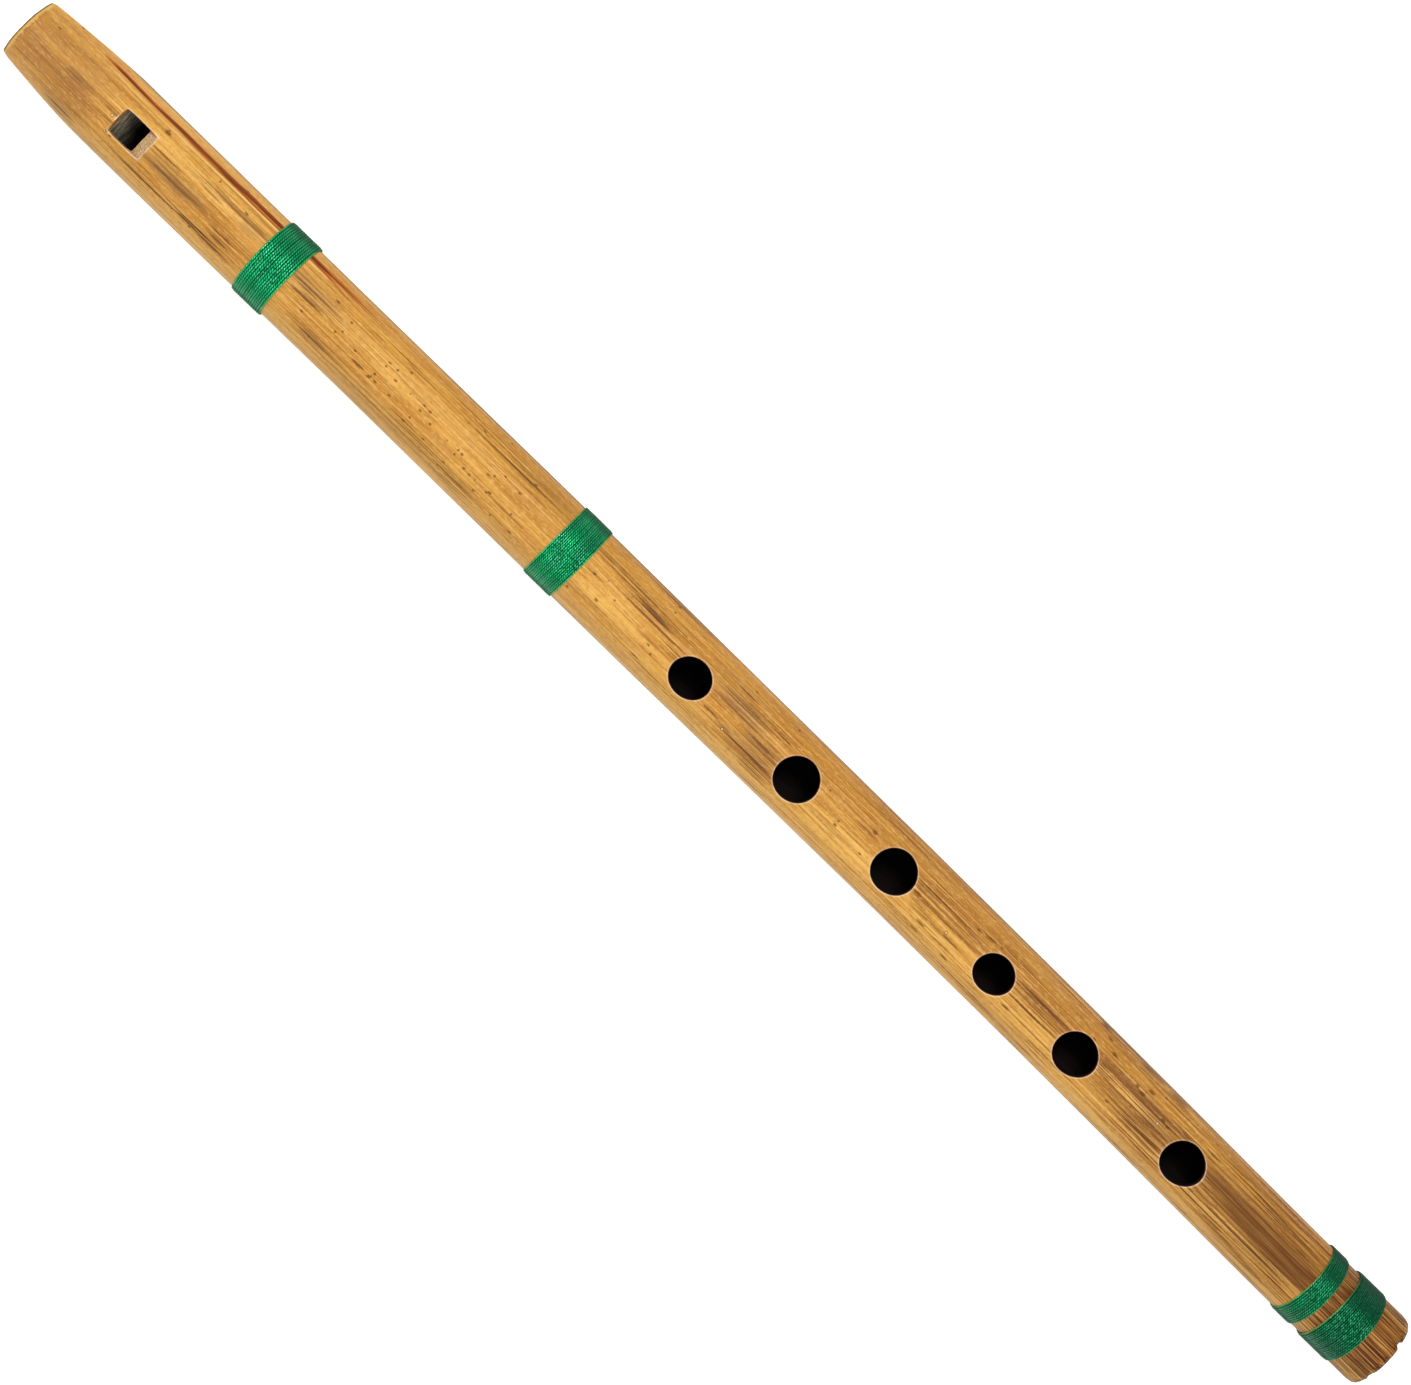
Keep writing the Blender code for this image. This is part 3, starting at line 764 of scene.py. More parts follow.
def cane_finish():
    """Outside of the cane: golden, with long fine fibres, brown streaks, smears and small pits."""
    f = Finish(bpy.data.materials.new("cane_skin"))
    place = f.read("cane_place")
    along, across, up = f.parts(place)
    weathered, fibrous, groove = f.parts(f.read("cane_marks"))
    char_and_shade, worn, dark = f.parts(f.read("cane_edges"))
    golden, brown, rim = f.parts(f.read("cane_tones"))
    hidden, sides, smooth = f.parts(f.read("cane_more"))

    # Noises: counts a millimetre along and across, detail, shift, roughness
    broad = f.noise(place, (1 / 42, 1 / 4.5), 2, 3)
    cloud = f.noise(place, (1 / 8, 1 / 1.9), 2, 83, 0.55)
    streak = f.noise(place, (1 / 38, 0.85), 3, 11, 0.6)
    fibre = f.noise(place, (1 / 34, 2.1), 3, 23, 0.6)
    hair = f.noise(place, (1 / 15, 3.9), 2, 37, 0.6)
    grit = f.noise(place, (0.9, 2.6), 2, 19, 0.6)
    lines = f.noise(place, (1 / 30, 1.9), 3, 29, 0.65)
    dash = f.noise(place, (1 / 3.2, 3.4), 1, 51)
    patch = f.noise(place, (1 / 14, 0.45), 2, 67)
    ragged = f.noise(place, (1.6, 4.5), 2, 61)
    pit = f.dots(place, (0.42, 0.95), 5)

    fine = f.level(smooth, 0, 1, 1, 0.45)
    clusters = f.level(patch, 0.38, 0.62, 0.35, 1)
    late = f.level(along, 150, 290, 1.1, 2)
    side = f.times(across, 1 / 8)
    off_middle = f.maths("SUBTRACT", side, 0.05)
    middle = f.level(f.times(off_middle, off_middle), 0.1, 0.6, 1, 0.5)
    # Each layer is a tone, then amounts, where a tuple is a value, its two limits and what it
    # gives below and above them
    colour = f.tinted(
        srgb(200, 139, 58),
        ((217, 158, 70), (broad, 0.36, 0.64)),
        ((184, 124, 64), (cloud, 0.52, 0.72), 0.42),
        ((230, 176, 88), (cloud, 0.46, 0.3), 0.3),
        ((172, 118, 72), smooth, (cloud, 0.35, 0.6, 0.3, 0.62)),
        ((168, 108, 48), (streak, 0.5, 0.68), fine, 0.45),
        ((232, 178, 88), (streak, 0.46, 0.32), 0.32),
        # Painted light and shade by side: darker towards +Y past the head, paler towards -Y and towards +Y
        # near the tip; then broad places on it
        ((198, 136, 40), (side, -0.2, 0.35, 0, 0.3)),
        ((174, 112, 40), (side, 0.25, 0.95), (along, 90, 230, -0.1, 0.62), (along, 266, 286, 1, 0.5)),
        ((232, 184, 108), (side, -0.4, -0.95), 0.68),
        ((232, 176, 92), (side, 0.4, 0.9), (along, 100, 60, 0, 0.45)),
        ((240, 184, 92), (golden, 0, 1, 0, 0.75)),
        ((162, 104, 44), (golden, 0, -1, 0, 0.85)),
        # Fibres, hairs and grit
        ((146, 88, 34), (fibre, 0.52, 0.64), fine, clusters, late, 0.45),
        ((240, 188, 102), (fibre, 0.46, 0.34), fine, late, 0.34),
        ((120, 72, 30), (hair, 0.53, 0.62), fine, clusters, late, 0.42),
        ((248, 204, 122), (hair, 0.46, 0.36), fine, 0.28),
        ((150, 100, 56), (grit, 0.54, 0.68), 0.32),
        ((246, 204, 132), (grit, 0.46, 0.32), 0.28),
        # Weathered, fibrous and brown places
        ((140, 100, 62), weathered, (cloud, 0.36, 0.6, 0.55, 1), 0.5),
        ((92, 62, 38), weathered, (fibre, 0.49, 0.6), 0.6),
        ((108, 62, 24), fibrous, (fibre, 0.49, 0.6), 0.7),
        ((74, 42, 18), fibrous, (hair, 0.53, 0.61), 0.8),
        ((236, 184, 104), fibrous, (hair, 0.44, 0.36), 0.45),
        ((112, 70, 30), brown, (streak, 0.3, 0.6, 0.75, 1), 0.8),
        ((168, 116, 54), brown, (hair, 0.46, 0.32), 0.35),
        # The dark foot
        ((110, 56, 22), dark, (lines, 0.34, 0.56, 0.8, 1), middle),
        ((200, 134, 64), dark, (lines, 0.45, 0.37), 0.35),
        ((214, 156, 88), dark, (hair, 0.45, 0.37), 0.65),
        ((62, 28, 10), dark, (lines, 0.52, 0.59), 0.62),
        ((56, 26, 10), dark, (fibre, 0.53, 0.6), 0.62),
        ((44, 20, 8), dark, (hair, 0.52, 0.58), 0.85),
        # The groove's red stain, valley and pale lips, then painted shade in lines where the cane turns away
        ((182, 94, 30), (groove, 0.05, 0.4), (fibre, 0.3, 0.6, 0.6, 0.95)),
        ((104, 42, 14), (groove, 0.45, 0.95), (fibre, 0.3, 0.6, 0.7, 0.95)),
        ((250, 204, 124), (groove, -0.05, -0.75), 0.75),
        ((92, 76, 48), sides, 0.9),
    )

    # Fine marks in their own places, and a few more scattered on the side that lies down
    faint = f.spots(FAINT_SETS, ragged)
    dashes = f.times((dash, 0.66, 0.71), (patch, 0.46, 0.58))
    pits = f.times((pit, 0.17, 0.09), (patch, 0.44, 0.56))
    scattered = f.times(f.maths("MAXIMUM", dashes, pits), hidden)
    strong = f.maths("MAXIMUM", f.spots(DARK_SETS, ragged), scattered)
    away, near = f.reach("resin")
    bead = f.times((away, 0.95, 0.55), near)
    colour = f.tinted(
        colour,
        ((122, 74, 30), faint, 0.55),
        ((92, 50, 20), strong, 0.72),
        ((96, 66, 40), (away, 1.5, 1.1), near, 0.65),
        ((228, 198, 152), bead),
        # Worn pale edges, painted shade along the outer edge of the tip and of the foot, and the pale rims
        # of the openings, partly painted light
        ((232, 188, 104), (worn, 0, 1), (hair, 0.3, 0.6, 0.6, 1), 0.85),
        ((92, 80, 60), (worn, -0.1, -1), 0.88),
        ((248, 216, 180), rim, (fibre, 0.36, 0.62, 0.95, 0.55)),
    )
    # Hole walls: reddish char near the top, then painted shade that darkens them to near black deeper in
    span = f.maths("SQRT", f.maths("ADD", f.times(across, across), f.times(up, up)), 0)
    dark_inside = f.tinted(srgb(66, 18, 12), ((12, 7, 6), (span, 7.8, 7.1)))
    colour = f.mix(char_and_shade, colour, dark_inside)

    height = f.maths(
        "ADD", f.times(fibre, 0.7), f.times(hair, 0.45), f.times(strong, -1), f.times(faint, -0.4),
        f.times(bead, 2),
    )
    f.bump(height, strength=0.55, distance=0.06)
    rough = f.maths("ADD", f.level(fibre, 0.3, 0.7, 0.42, 0.56), f.times(char_and_shade, 0.3))
    return f.done(Base_Color=colour, Roughness=rough, Specular_IOR_Level=0.1)


def cut_finish():
    """Cut and sanded cane, at the beak and at both ends: paler, with dark fibre ends."""
    f = Finish(bpy.data.materials.new("cane_cut"))
    place = f.read("cane_place")
    along, _, up = f.parts(place)
    grain = f.noise(place, (1 / 9, 2.6), 3, 3, 0.6)
    broad = f.noise(place, (1 / 20, 0.4), 2, 8)
    colour = f.tinted(
        srgb(182, 130, 74),
        ((214, 168, 108), (broad, 0.35, 0.65)),
        ((140, 92, 48), (grain, 0.48, 0.68), 0.6),
        ((92, 58, 32), (f.dots(place, (0.35, 2.4), 2), 0.26, 0.12), 0.7),
    )
    # The window's lip is pale and grainy
    sand = f.noise(place, (4, 4), 2, 13, 0.6)
    lip = f.times((along, LIP_EDGE - 1.2, LIP_EDGE - 0.7), (up, 3, 4))
    pale = f.tinted(srgb(222, 190, 144), ((176, 134, 88), (sand, 0.4, 0.62)))
    f.bump(f.maths("ADD", grain, f.times(lip, sand)), strength=0.5, distance=0.05)
    return f.done(Base_Color=f.mix(lip, colour, pale), Roughness=0.68, Specular_IOR_Level=0.2)


def bore_finish():
    """Bore, nearly black and dusty."""
    f = Finish(bpy.data.materials.new("cane_bore"))
    grain = f.noise(f.read("cane_place"), (1 / 14, 1.6), 3, 5, 0.6)
    colour = f.tinted(srgb(8, 5, 4), ((24, 14, 10), (grain, 0.35, 0.65)))
    f.bump(grain, strength=0.4, distance=0.1)
    return f.done(Base_Color=colour, Roughness=0.9, Specular_IOR_Level=0.15)


def block_finish():
    """Block: grey-brown close-grained wood, its grain along the flute."""
    f = Finish(bpy.data.materials.new("block_wood"))
    place = f.read("cane_place")
    along, _, up = f.parts(place)
    grain = f.noise(place, (1 / 10, 2.2), 3, 2, 0.6)
    fine = f.noise(place, (1 / 3, 9), 2, 4, 0.5)
    colour = f.tinted(
        srgb(120, 96, 68), ((168, 142, 108), (grain, 0.34, 0.66)), ((78, 60, 42), (fine, 0.5, 0.7), 0.6)
    )
    # Its raked end, seen through the window: grey, with saw lines across, and painted shade that darkens it
    # to near black below
    saw = f.noise(place, (0, 0.25, 3.2))
    speck = f.noise(place, (3, 3), 2, 9)
    end_grain = f.tinted(
        srgb(168, 160, 134), ((92, 84, 64), (saw, 0.4, 0.62)), ((70, 60, 44), (speck, 0.5, 0.7), 0.5)
    )
    at_end = f.level(along, BLOCK_SHORT - 0.35, BLOCK_SHORT)
    colour = f.mix(f.times(at_end, (up, 5.6, 5)), colour, end_grain)
    # Painted shade: near black towards the bottom of the raked end
    colour = f.tinted(colour, ((8, 6, 5), at_end, (up, 5, -2, 0.1, 1)))
    f.bump(f.maths("ADD", grain, fine), strength=0.5, distance=0.05)
    return f.done(Base_Color=colour, Roughness=0.8, Specular_IOR_Level=0.2)


def thread_finish():
    """Glossy green thread: painted shade where turns and strands meet and on its sides, a paler edge
    outside.

    Painted glints: light and dark specks are strongest where the key lamp strikes the top of a binding.
    """
    f = Finish(bpy.data.materials.new("green_thread"))
    edge, shade, crest = f.parts(f.read("winding"))
    phase, twist, painted_side_shade = f.parts(f.read("strands"))
    ply = f.maths("COSINE", f.times(f.maths("SUBTRACT", phase, twist), 2), 0)
    place = f.put("ShaderNodeTexCoord", {}, "Object")
    ahead, aside, _ = f.parts(place)
    to_mm = (1 / MM, 1 / MM, 1 / MM)
    in_mm = f.put("ShaderNodeVectorMath", {0: place, 1: to_mm}, operation="MULTIPLY")
    fuzz = f.noise(in_mm, (2.3, 2.3))
    # Painted glints: a band along the top of each binding, weaker on the foot bindings
    painted_glint_zone = f.times(
        (aside, -0.0045, -0.001), (aside, 0.0045, 0.002), (ahead, 0.1, 0.14, 1, 0.45)
    )
    colour = f.tinted(
        srgb(3, 92, 50),
        ((20, 200, 118), (shade, -1, 1)),
        ((84, 228, 160), (fuzz, 0.49, 0.62), (painted_glint_zone, 0, 1, 0.24, 0.78)),
        ((0, 74, 42), (fuzz, 0.48, 0.36), (painted_glint_zone, 0, 1, 0.38, 0.66)),
        # Painted shade between the two strands and in the gaps between the turns
        ((0, 60, 32), (ply, 0.1, -0.9), 0.8),
        ((0, 30, 16), (crest, 0.99, 0.58, 0, 0.96)),
        ((166, 194, 88), (edge, 0.2, 0.75), 0.62),
        # Painted shade on the binding's sides and outline
        ((0, 36, 20), painted_side_shade),
    )
    f.bump(fuzz, strength=0.45, distance=0.05)
    return f.done(
        Base_Color=colour, Roughness=f.level(painted_side_shade, 0.15, 0.6, 0.27, 0.65), Metallic=0.2,
        Specular_IOR_Level=0.35, Specular_Tint=(0.15, 1, 0.6, 1),
    )


# Marks on the cane: distance from the tip, offset towards +Y, half length, half width, strength
WEATHERED = (
    (9, 0, 8, 4.8, 0.35), (15.5, -6.5, 3, 0.9, 1.2), (39, -0.5, 5, 1, 0.7), (15, 0, 4, 1.4, 0.4),
    (38.5, -1.2, 6, 1.3, 0.5), (71, 2.5, 5, 1.8, 0.6), (181, 2.3, 5, 1.5, 0.8), (188, -1.3, 5, 2.1, 0.8),
    (178, 5.2, 5, 1.2, 0.4), (259, 1.5, 5, 1.6, 0.3), (288, 0.3, 4, 2.4, 0.6), (282, 3.4, 9, 0.8, 0.6),
    (308, 2.2, 8, 2, 0.3), (56, 2.6, 2, 1, 0.8), (96, -5, 14, 1.6, 0.5), (77, -4.4, 2, 0.7, 0.9),
)
FIBROUS = (
    (39, -4.5, 11, 0.6, 0.9), (53, -4.2, 5, 0.7, 0.8), (51, 3.8, 12, 1.5, 0.4), (72, 1.4, 5, 1.3, 0.8),
    (74, 6.2, 7, 0.8, 0.9), (78, -4.4, 4, 0.6, 0.6), (23, 0.2, 2, 1.8, 0.3), (93, 5, 7, 0.7, 0.4),
    (118, 4.5, 7, 0.4, 0.6), (123, 5.1, 4, 1.8, 0.4), (150, 4.5, 7, 0.8, 0.6), (157, 3.3, 4, 0.6, 0.7),
    (160, 7.6, 7, 0.5, 0.8), (165, 1.2, 3, 1.1, 0.6), (180, -4.7, 7, 0.4, 0.7), (187, -3.5, 6, 1.2, 0.5),
    (234, 1, 7, 1.8, 0.5), (238, -3, 6, 0.5, 0.5), (259, 1.9, 7, 1.2, 0.5),
    (283, 0.7, 9, 2.4, 0.5), (288, -2.4, 5, 1.4, 0.6), (309, -3, 15, 1.6, 0.6),
    (309, 5, 15, 1.8, 0.5), (327, 5.9, 4, 1.8, 0.5), (279, 7.3, 10, 0.4, 1),
)
BROWN = (
    (129, 5.9, 7, 1.9, 0.35), (315, 1.2, 15, 2.1, 1.1), (319, -0.4, 10, 0.9, 0.6),
    (327, 0.5, 4, 1.7, 0.9), (270.3, 7.5, 0.8, 0.9, 1.2), (275, 7.75, 5, 0.5, 0.9),
    (281.5, 7.5, 1.6, 0.9, 1.2), (284.5, 7.5, 1.2, 0.7, 1), (289.5, 7.35, 2.2, 0.9, 1.2),
)
# Strips at the foot that stay light
FOOT_PALE = ((346.5, 4.6, 3.5, 0.3, 1), (346.5, 1.7, 4, 0.2, 1), (340, -6.7, 14, 1.1, 0.6))
# Lighter places, and darker ones where the strength is below zero
GOLDEN = (
    (151, 0.3, 7, 2.4, 0.6), (101, 1.8, 14, 2.6, 0.25), (211, -1, 5, 2.8, 0.6), (190, -5.4, 30, 1.1, 0.4),
    (206, -2.5, 6, 1.5, 0.5), (42, 2.6, 12, 1.6, 0.4), (70, 2.4, 50, 1.7, 0.35), (205, -2.4, 70, 1.9, 0.45),
    (230, 2.8, 70, 2.4, -0.45), (126, 5.2, 40, 2, -0.2), (8, -2.5, 12, 4.5, -0.15),
    (47, -0.1, 13, 1.5, -0.5), (124, -0.2, 9, 2.2, -0.4), (185, -2.4, 7, 1.8, -0.7),
    (236, -0.3, 7, 1.2, -0.35), (259, 1.8, 6, 1.4, -0.35), (315, 2.2, 14, 1.2, -0.4),
    (316, -2.7, 12, 1.1, 0.8), (259, 6.8, 6, 1.2, -0.7), (283, 2.4, 8, 1.6, -0.4),
    (283, 6.6, 8, 1.2, -0.5), (184, -4, 8, 1.8, -0.4), (315, 6.8, 12, 1.2, -0.5),
    (282, 1.2, 8, 2.6, -0.5), (245, 5, 22, 1.6, -0.35), (16, -3.5, 6, 3, -0.35),
)

# Fine lines, dark ones and faint ones: distance from the tip, offset, half length
DARK_LINES = (
    (35.5, 1.2, 3.5), (35.5, -4.8, 7.5), (53, -2, 3), (52.5, -3.2, 2.5), (46, -4.5, 2.5),
    (52, -4.8, 3.5), (71.5, 0.5, 3.5), (86.5, -1.6, 1.5), (113.5, -4.6, 6), (121, 4.8, 9.5),
    (157.5, 2.2, 8), (158.5, 3.2, 3.5), (159.5, -4.5, 1), (179.5, 5, 2.5), (189.5, 3.8, 2.5),
    (188, -0, 3.5), (176.5, -2, 2), (233.5, 2.8, 8), (227, 0.7, 1), (238, -1.5, 2), (231.5, -3, 1),
    (231.5, -4.7, 1), (239, -4.6, 1), (243, 4.2, 1), (257, -0.6, 5), (253.5, -3, 1), (257, 2.3, 5),
    (289, 0.5, 3.5), (288.5, -1.8, 4), (300.5, 4.8, 1.5), (316.5, -2.6, 11.5), (308.5, -4.5, 3),
)
FAINT_LINES = (
    (18, -4.7, 3), (34, -3, 3.5), (34.5, -4.8, 1), (51, 3, 4.5), (46, 2.2, 2.5), (70.5, 1.7, 2.5),
    (75, 5.6, 2.5), (73, 1, 3), (99.5, -3.2, 3.5), (115, -5.5, 4.5), (107, 6.4, 3.5),
    (117.5, 6.4, 7), (124.5, -2, 5), (115, -6.5, 4.5), (144, 1.2, 2.5), (164, -5, 5),
    (189.5, 1.3, 2), (180.5, -2.5, 2), (189.5, -4.7, 3.5), (190, -5.3, 4), (192, -7, 3),
    (212, -0.4, 4.5), (212.5, 2.5, 2.5), (228.5, 2.2, 3), (228.5, -0.7, 2), (237.5, -3.1, 2.5),
    (258.5, -3, 4), (262.5, -0.4, 2), (263.5, -3, 3), (279.5, 0.6, 5.5), (281, -0.3, 7),
    (283, 3.3, 8.5), (290, -3, 2.5), (304.5, 3.1, 2.5), (304, 0.8, 1.5), (304.5, -2, 2.5),
    (317, 4.2, 12), (319.5, -0.8, 9), (319.5, -3.3, 8), (323.5, -4, 6),
)
# Small pits: distance from the tip, offset
PITS = (
    (32.5, 4.9), (5.5, 4.1), (8, 6.9), (24.5, -2.9), (25.5, -3.1), (45.5, 4.8), (53, 4), (50, 6.9),
    (47, -5), (76, 4.1), (80.5, 0.8), (79.5, -0.2), (76.5, -4.3), (80.5, 3.1), (84.5, -0.1),
    (72.5, -1.7), (70.5, 7.7), (90.5, 2.7), (90.5, 1.8), (92.5, 2.7), (90, -0.7), (89.5, -1.8),
    (91, -1.7), (94.5, -1.7), (93.5, 1.1), (94.5, 4.1), (100.5, 1.5), (102, 1.4), (100.5, 0.3),
    (100, -1.9), (99.5, -3.2), (103.5, -0.2), (104.5, -3.1), (110.5, 0), (111.5, -0.1), (110.5, -1),
    (110, -3.5), (109.5, -4.7), (113.5, -1.7), (115, -1.9), (120, -1.6), (119.5, -2), (118.5, 1.2),
    (117.5, 0.6), (120, 2.5), (125.5, -1.7), (124, 2.1), (117.5, -3.4), (127.5, -4.3), (111.5, 5.6),
    (116.5, 7.3), (121.5, 4.8), (125, 5.1), (160, -1.2), (161.5, -2.2), (159.5, 6.2), (159.5, 7.3),
    (144, 1.2), (150, 0.3), (157, 3.2), (142, -4), (147.5, -2), (180.5, 6.3), (202.5, 2.9),
    (207.5, -0), (207.5, -1), (214.5, -1.6), (191, 6.6), (245.5, 4.4), (240, 3.8), (270, 7.5),
    (280.5, 7.3), (289, 7.1), (300, 6.6), (287, 6), (269.5, 4.5), (279, -2.1),
)
BIG_PITS = (
    (274.3, 5.1), (284, 5), (281.2, 4), (282.7, 3.6), (289, 2.8), (290.4, 2.5), (272, 6.5),
    (213.8, 3.2), (32.6, 4.6),
)
# Drops of resin
RESIN = ((177, 6.9), (180.5, -2.9), (236, -0.8), (288.5, 1.7), (23.4, -0.1), (24.2, -3.1))


def sized(marks, half_length, half_width, seed):
    """Gives marks their half sizes, from a third smaller to a half larger than asked."""
    rng = np.random.default_rng(seed)
    made = []
    for middle, aside, *long in marks:
        long = long[0] if long else half_length * rng.uniform(0.67, 1.5)
        made.append((middle, aside, long, half_width * rng.uniform(0.75, 1.3)))
    return made


def shared_out(marks, count):
    """Shares marks out over sets, so that those of one set keep clear of each other."""
    sets = [[] for _ in range(count)]
    for mark in marks:
        crowds = [
            sum(abs(mark[0] - m[0]) < mark[2] + m[2] + 7 and abs(mark[1] - m[1]) < 1.1 for m in members)
            for members in sets
        ]
        sets[crowds.index(min(crowds))].append(mark)
    return sets


def nearest_mark(d, turn, marks):
    """Place of each point from the middle of its nearest mark, in half sizes, and 1 where it is near.

    Far from every mark both numbers are 6 and the last one 0, so nothing is drawn there.
    """
    middle, aside, half_d, half_w = np.array(marks).T
    step_d = d[:, None] - middle
    step_w = (turn[:, None] - np.arcsin(aside / CANE_RADIUS)) * CANE_RADIUS
    reach = np.maximum(np.abs(step_d) / (half_d + 3.6), np.abs(step_w) / (half_w + 0.42))
    pick = np.arange(len(d)), reach.argmin(1)
    near = reach[pick] < 1
    u = np.where(near, (step_d / half_d)[pick], 6.0)
    v = np.where(near, (step_w / half_w)[pick], 6.0)
    return stacked(u, v, near)


def mark_field(d, turn, marks, seed):
    """Strength of a set of marks at each point: soft ellipses with frayed ends, summed."""
    fray = ripple(seed, d, turn, 9.0, 90)
    total = 0.0
    for middle, aside, half_length, half_width, strength in marks:
        u = (d - middle) / (half_length * (1.1 + 0.35 * fray))
        v = (turn - np.arcsin(aside / CANE_RADIUS)) * CANE_RADIUS / (half_width * 1.1)
        total = total + strength * np.exp(-(u**4 + v**4) * 0.7)
    return np.clip(total, -1.3, 1.3)


def rim_marks(place, turn, depth):
    """Strength of the char and painted shade inside the finger holes, and of the pale rims of all the
    openings.
    """
    d, across, up = place.T
    char_and_shade, rim = np.zeros(len(d)), np.zeros(len(d))
    for middle, long, wide, aside in FINGER_HOLES:
        size = np.hypot((d - middle) / long, (across - aside) / wide) * 2
        away = (size - 1) * (long + wide) / 4
        near = (up > 0) & (away < 1.5)
        char_and_shade = np.where(near, np.maximum(char_and_shade, smooth_step(away, 0.21, 0.08)), char_and_shade)
        # Painted light: the rim is palest on the side that faces the key lamp
        facing = 0.82 + 0.3 * np.cos(np.arctan2(across - aside, d - middle) + 1.0)
        ring = smooth_step(away, 0.42, 0.24) * smooth_step(away, 0.06, 0.18) * facing
        rim = np.where(near, np.maximum(rim, ring), rim)
    middle, half, half_width, *_ = wall_openings(LIP_TOP)[0]
    away = np.maximum(np.abs(d - middle) - half, np.abs(across) - half_width)
    # The window's head end is bare only where its edge is chipped
    chips = smooth_step(ripple(108, d, turn, 3.0, 60), 0.3, 0.6)
    bare = 1 - 0.8 * smooth_step(d, WINDOW_START + 0.15, WINDOW_START) * (1 - chips)
    ring = np.maximum(rim, bare * smooth_step(away, 0.34, 0.12))
    return char_and_shade, np.where((up > 0) & (depth < 0.15), ring, rim)


def paint_cane(cane):
    """Keep on the cane's mesh its straightened place and the strength of each kind of mark."""
    place = straightened(vectors(cane.data.vertices, "co"))
    d, across, up = place.T
    turn = np.arctan2(across, up)
    depth = cane_radius(d) - np.hypot(across, up)
    store(cane, "cane_place", place)

    # The underside and the back get marks of the same kinds, scattered by noise
    hidden = smooth_step(np.abs(turn), 1.45, 1.9)
    scatter = smooth_step(ripple(101, d, turn, 26.0, 16), 0.35, 0.8) * hidden
    scatter_thin = smooth_step(ripple(102, d, turn, 18.0, 26), 0.3, 0.8) * hidden
    weathered = mark_field(d, turn, WEATHERED, 103) + 0.7 * scatter
    fibrous = mark_field(d, turn, FIBROUS, 104) + 0.8 * scatter_thin
    store(cane, "cane_marks", stacked(weathered, fibrous, groove_shape(d, turn)[1]))

    char_and_shade, rim = rim_marks(place, turn, depth)
    tip_d = d - slanted(TIP_END, across)
    # Above 0 where the tip is sanded pale; below 0, painted shade along the outer edge of the tip and of the
    # foot
    worn = np.where(tip_d < 0.3, -1.0, smooth_step(depth, 0.06, 0.2) * (d < 3.4))
    worn = worn - 0.9 * smooth_step(d, foot_end(turn) - 0.5, foot_end(turn) - 0.1)
    dark = 0.1 * smooth_step(d, 262, 300) + 0.18 * smooth_step(d, 296, 326) + 0.62 * smooth_step(d, 331, 337)
    dark = dark * (1 - 0.75 * np.clip(mark_field(d, turn, FOOT_PALE, 107), 0, 1))
    store(cane, "cane_edges", stacked(char_and_shade, worn, dark))
    golden, brown = mark_field(d, turn, GOLDEN, 105), mark_field(d, turn, BROWN, 106)
    store(cane, "cane_tones", stacked(golden, brown, rim))

    # Painted shade: a thin dark line on each side, where the cane turns away from the camera
    lean = np.abs(turn - radians(4))
    wide = np.where(turn > 0, 0.1, 0.02)
    sides = smooth_step(lean, 1.34 - wide, 1.46 - wide / 2) * smooth_step(lean, 1.85, 1.65)
    sides = sides * (0.65 + 0.35 * ripple(107, d, turn, 22.0, 3))
    store(cane, "cane_more", stacked(hidden, sides, smooth_step(d, 26, 14)))

    dark_marks = sized(DARK_LINES, 0, 0.21, 111) + sized(PITS, 0.3, 0.2, 112)
    dark_marks += sized(BIG_PITS, 0.6, 0.34, 115)
    for names, marks in ((DARK_SETS, dark_marks), (FAINT_SETS, sized(FAINT_LINES, 0, 0.19, 113))):
        for name, members in zip(names, shared_out(marks, len(names))):
            store(cane, name, nearest_mark(d, turn, members))
    store(cane, "resin", nearest_mark(d, turn, sized(RESIN, 0.22, 0.26, 114)))


def sort_faces(cane):
    """The bore takes the nearly black finish, and the beak's cut, the ends and the window the cut one."""
    faces = cane.data.polygons
    normal = vectors(faces, "normal")
    d, across, up = straightened(vectors(faces, "center")).T
    radius = np.hypot(across, up)
    outside, cut, dark_inside = range(3)
    kind = np.full(len(d), outside, np.int32)
    kind[(radius < BORE_RADIUS + 0.12) & (np.abs(normal[:, 0]) < 0.7)] = dark_inside
    on_end = (np.abs(normal[:, 0]) > 0.75) & ((d < 0.6) | (d > 347))
    on_beak = (np.abs(up - beak_height(d)) < 0.08) & (normal[:, 2] < -0.3) & (d < 32)
    in_window = (d > WINDOW_START - 0.1) & (d < LIP_TOP + 0.1) & (np.abs(across) < WINDOW_HALF + 0.1)
    in_window &= (up > 0) & (cane_radius(d) - radius > 0.06) & (radius > BORE_RADIUS - 0.1)
    kind[on_end | on_beak | in_window] = cut
    faces.foreach_set("material_index", kind)


cutter = make_beak_cutter()
cane = make_cane([cane_finish(), cut_finish(), bore_finish()], cutter)
paint_cane(cane)
sort_faces(cane)
block = make_block([block_finish()], cutter)
store(block, "cane_place", straightened(vectors(block.data.vertices, "co")))
bpy.data.objects.remove(cutter, do_unlink=True)

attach(cane, "root")
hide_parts("bamboo_tube")
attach(block, "root")
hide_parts("fipple_block")

thread = thread_finish()
for number, (name, binding) in enumerate(BINDINGS.items()):
    winding = wound_thread(name + "_thread", binding, thread, 200 + number)
    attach(winding, "root")
    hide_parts(name + "_binding")


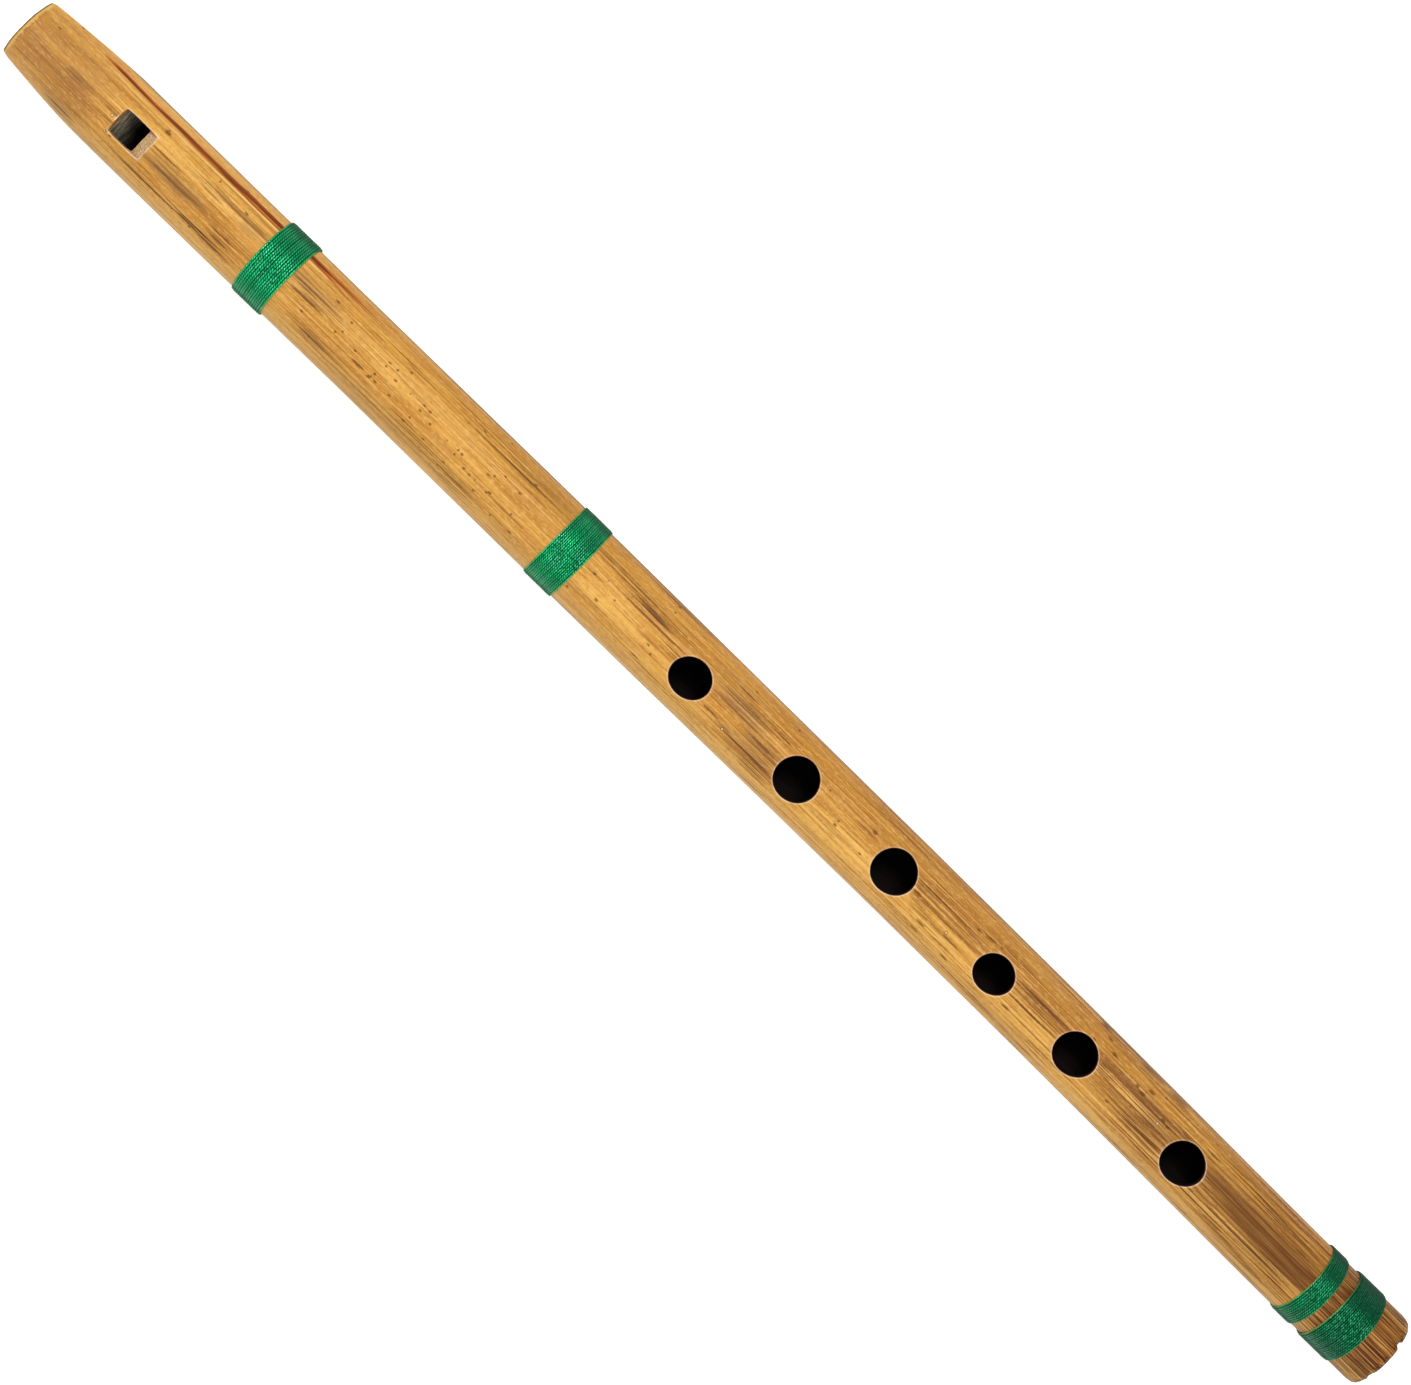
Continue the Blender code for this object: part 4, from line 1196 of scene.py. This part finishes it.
def seen_directly(f):
    """1 for rays from the camera and for those that a gloss or glass passes on, 0 for light."""
    kinds = ("Is Camera Ray", "Is Glossy Ray", "Is Transmission Ray")
    return f.maths("MAXIMUM", *(f.put("ShaderNodeLightPath", {}, kind) for kind in kinds))


# Half the side of the floor, in metres
FLOOR_HALF = 4.0


def make_floor():
    """Pale floor that shows the flute's shadow and is close to white where it is lit."""
    mesh = bpy.data.meshes.new("floor")
    corners = [(x * FLOOR_HALF, y * FLOOR_HALF, 0) for x, y in ((-1, -1), (1, -1), (1, 1), (-1, 1))]
    mesh.from_pydata(corners, [], [(0, 1, 2, 3)])
    f = Finish(bpy.data.materials.new("floor_paper"))
    glow = f.times(seen_directly(f), 0.64)
    mesh.materials.append(f.done(
        Base_Color=(0.72, 0.72, 0.72, 1), Roughness=0.9, Specular_IOR_Level=0.1,
        Emission_Color=(1, 1, 1, 1), Emission_Strength=glow,
    ))
    floor = new_object("floor", mesh)


def make_world():
    """Even white light, and plain white where the camera looks past the floor."""
    world = bpy.data.worlds.new("studio")
    bpy.context.scene.world = world
    f = Finish(world, "Background")
    f.done(Color=(1, 1, 1, 1), Strength=f.level(seen_directly(f), 0, 1, 0.48, 1.0))


def make_lamp(name, place, size, power):
    """Round lamp that faces the floor under the flute's middle, in metres and watts."""
    lamp = bpy.data.lights.new(name, "AREA")
    lamp.shape = "DISK"
    lamp.size = size
    lamp.energy = power
    holder = new_object(name, lamp)
    holder.location = place
    holder.rotation_euler = (-Vector(place)).to_track_quat("-Z", "Y").to_euler()


def make_camera():
    """Camera nearly straight above, with the flute on the picture's diagonal."""
    axis = float(axis_height(LENGTH / 2))
    place = Vector((-36.0, 56.436, 630.0 + axis)) * MM
    aim = Vector((-16.088, 11.257, axis)) * MM
    roll = radians(44.50649)
    view = bpy.data.cameras.new("camera")
    view.lens = 87.36393
    view.sensor_width = 36.0
    view.shift_x, view.shift_y = 0.0095214, -0.0727789
    view.clip_start, view.clip_end = 0.01, 20.0
    camera = new_object("camera", view)
    ahead = (aim - place).normalized()
    right = ahead.cross(Vector((-sin(roll), cos(roll), 0.0))).normalized()
    turned = Matrix((right, right.cross(ahead), -ahead)).transposed()
    camera.matrix_world = Matrix.Translation(place) @ turned.to_4x4()
    bpy.context.scene.camera = camera


make_floor()
make_world()
make_lamp("key_lamp", (-0.1, 0.5, 0.96), 0.32, 6.5)
make_lamp("fill_lamp", (0.25, -0.8, 0.9), 0.8, 4.0)
make_camera()
bpy.context.scene.view_settings.view_transform = "Standard"
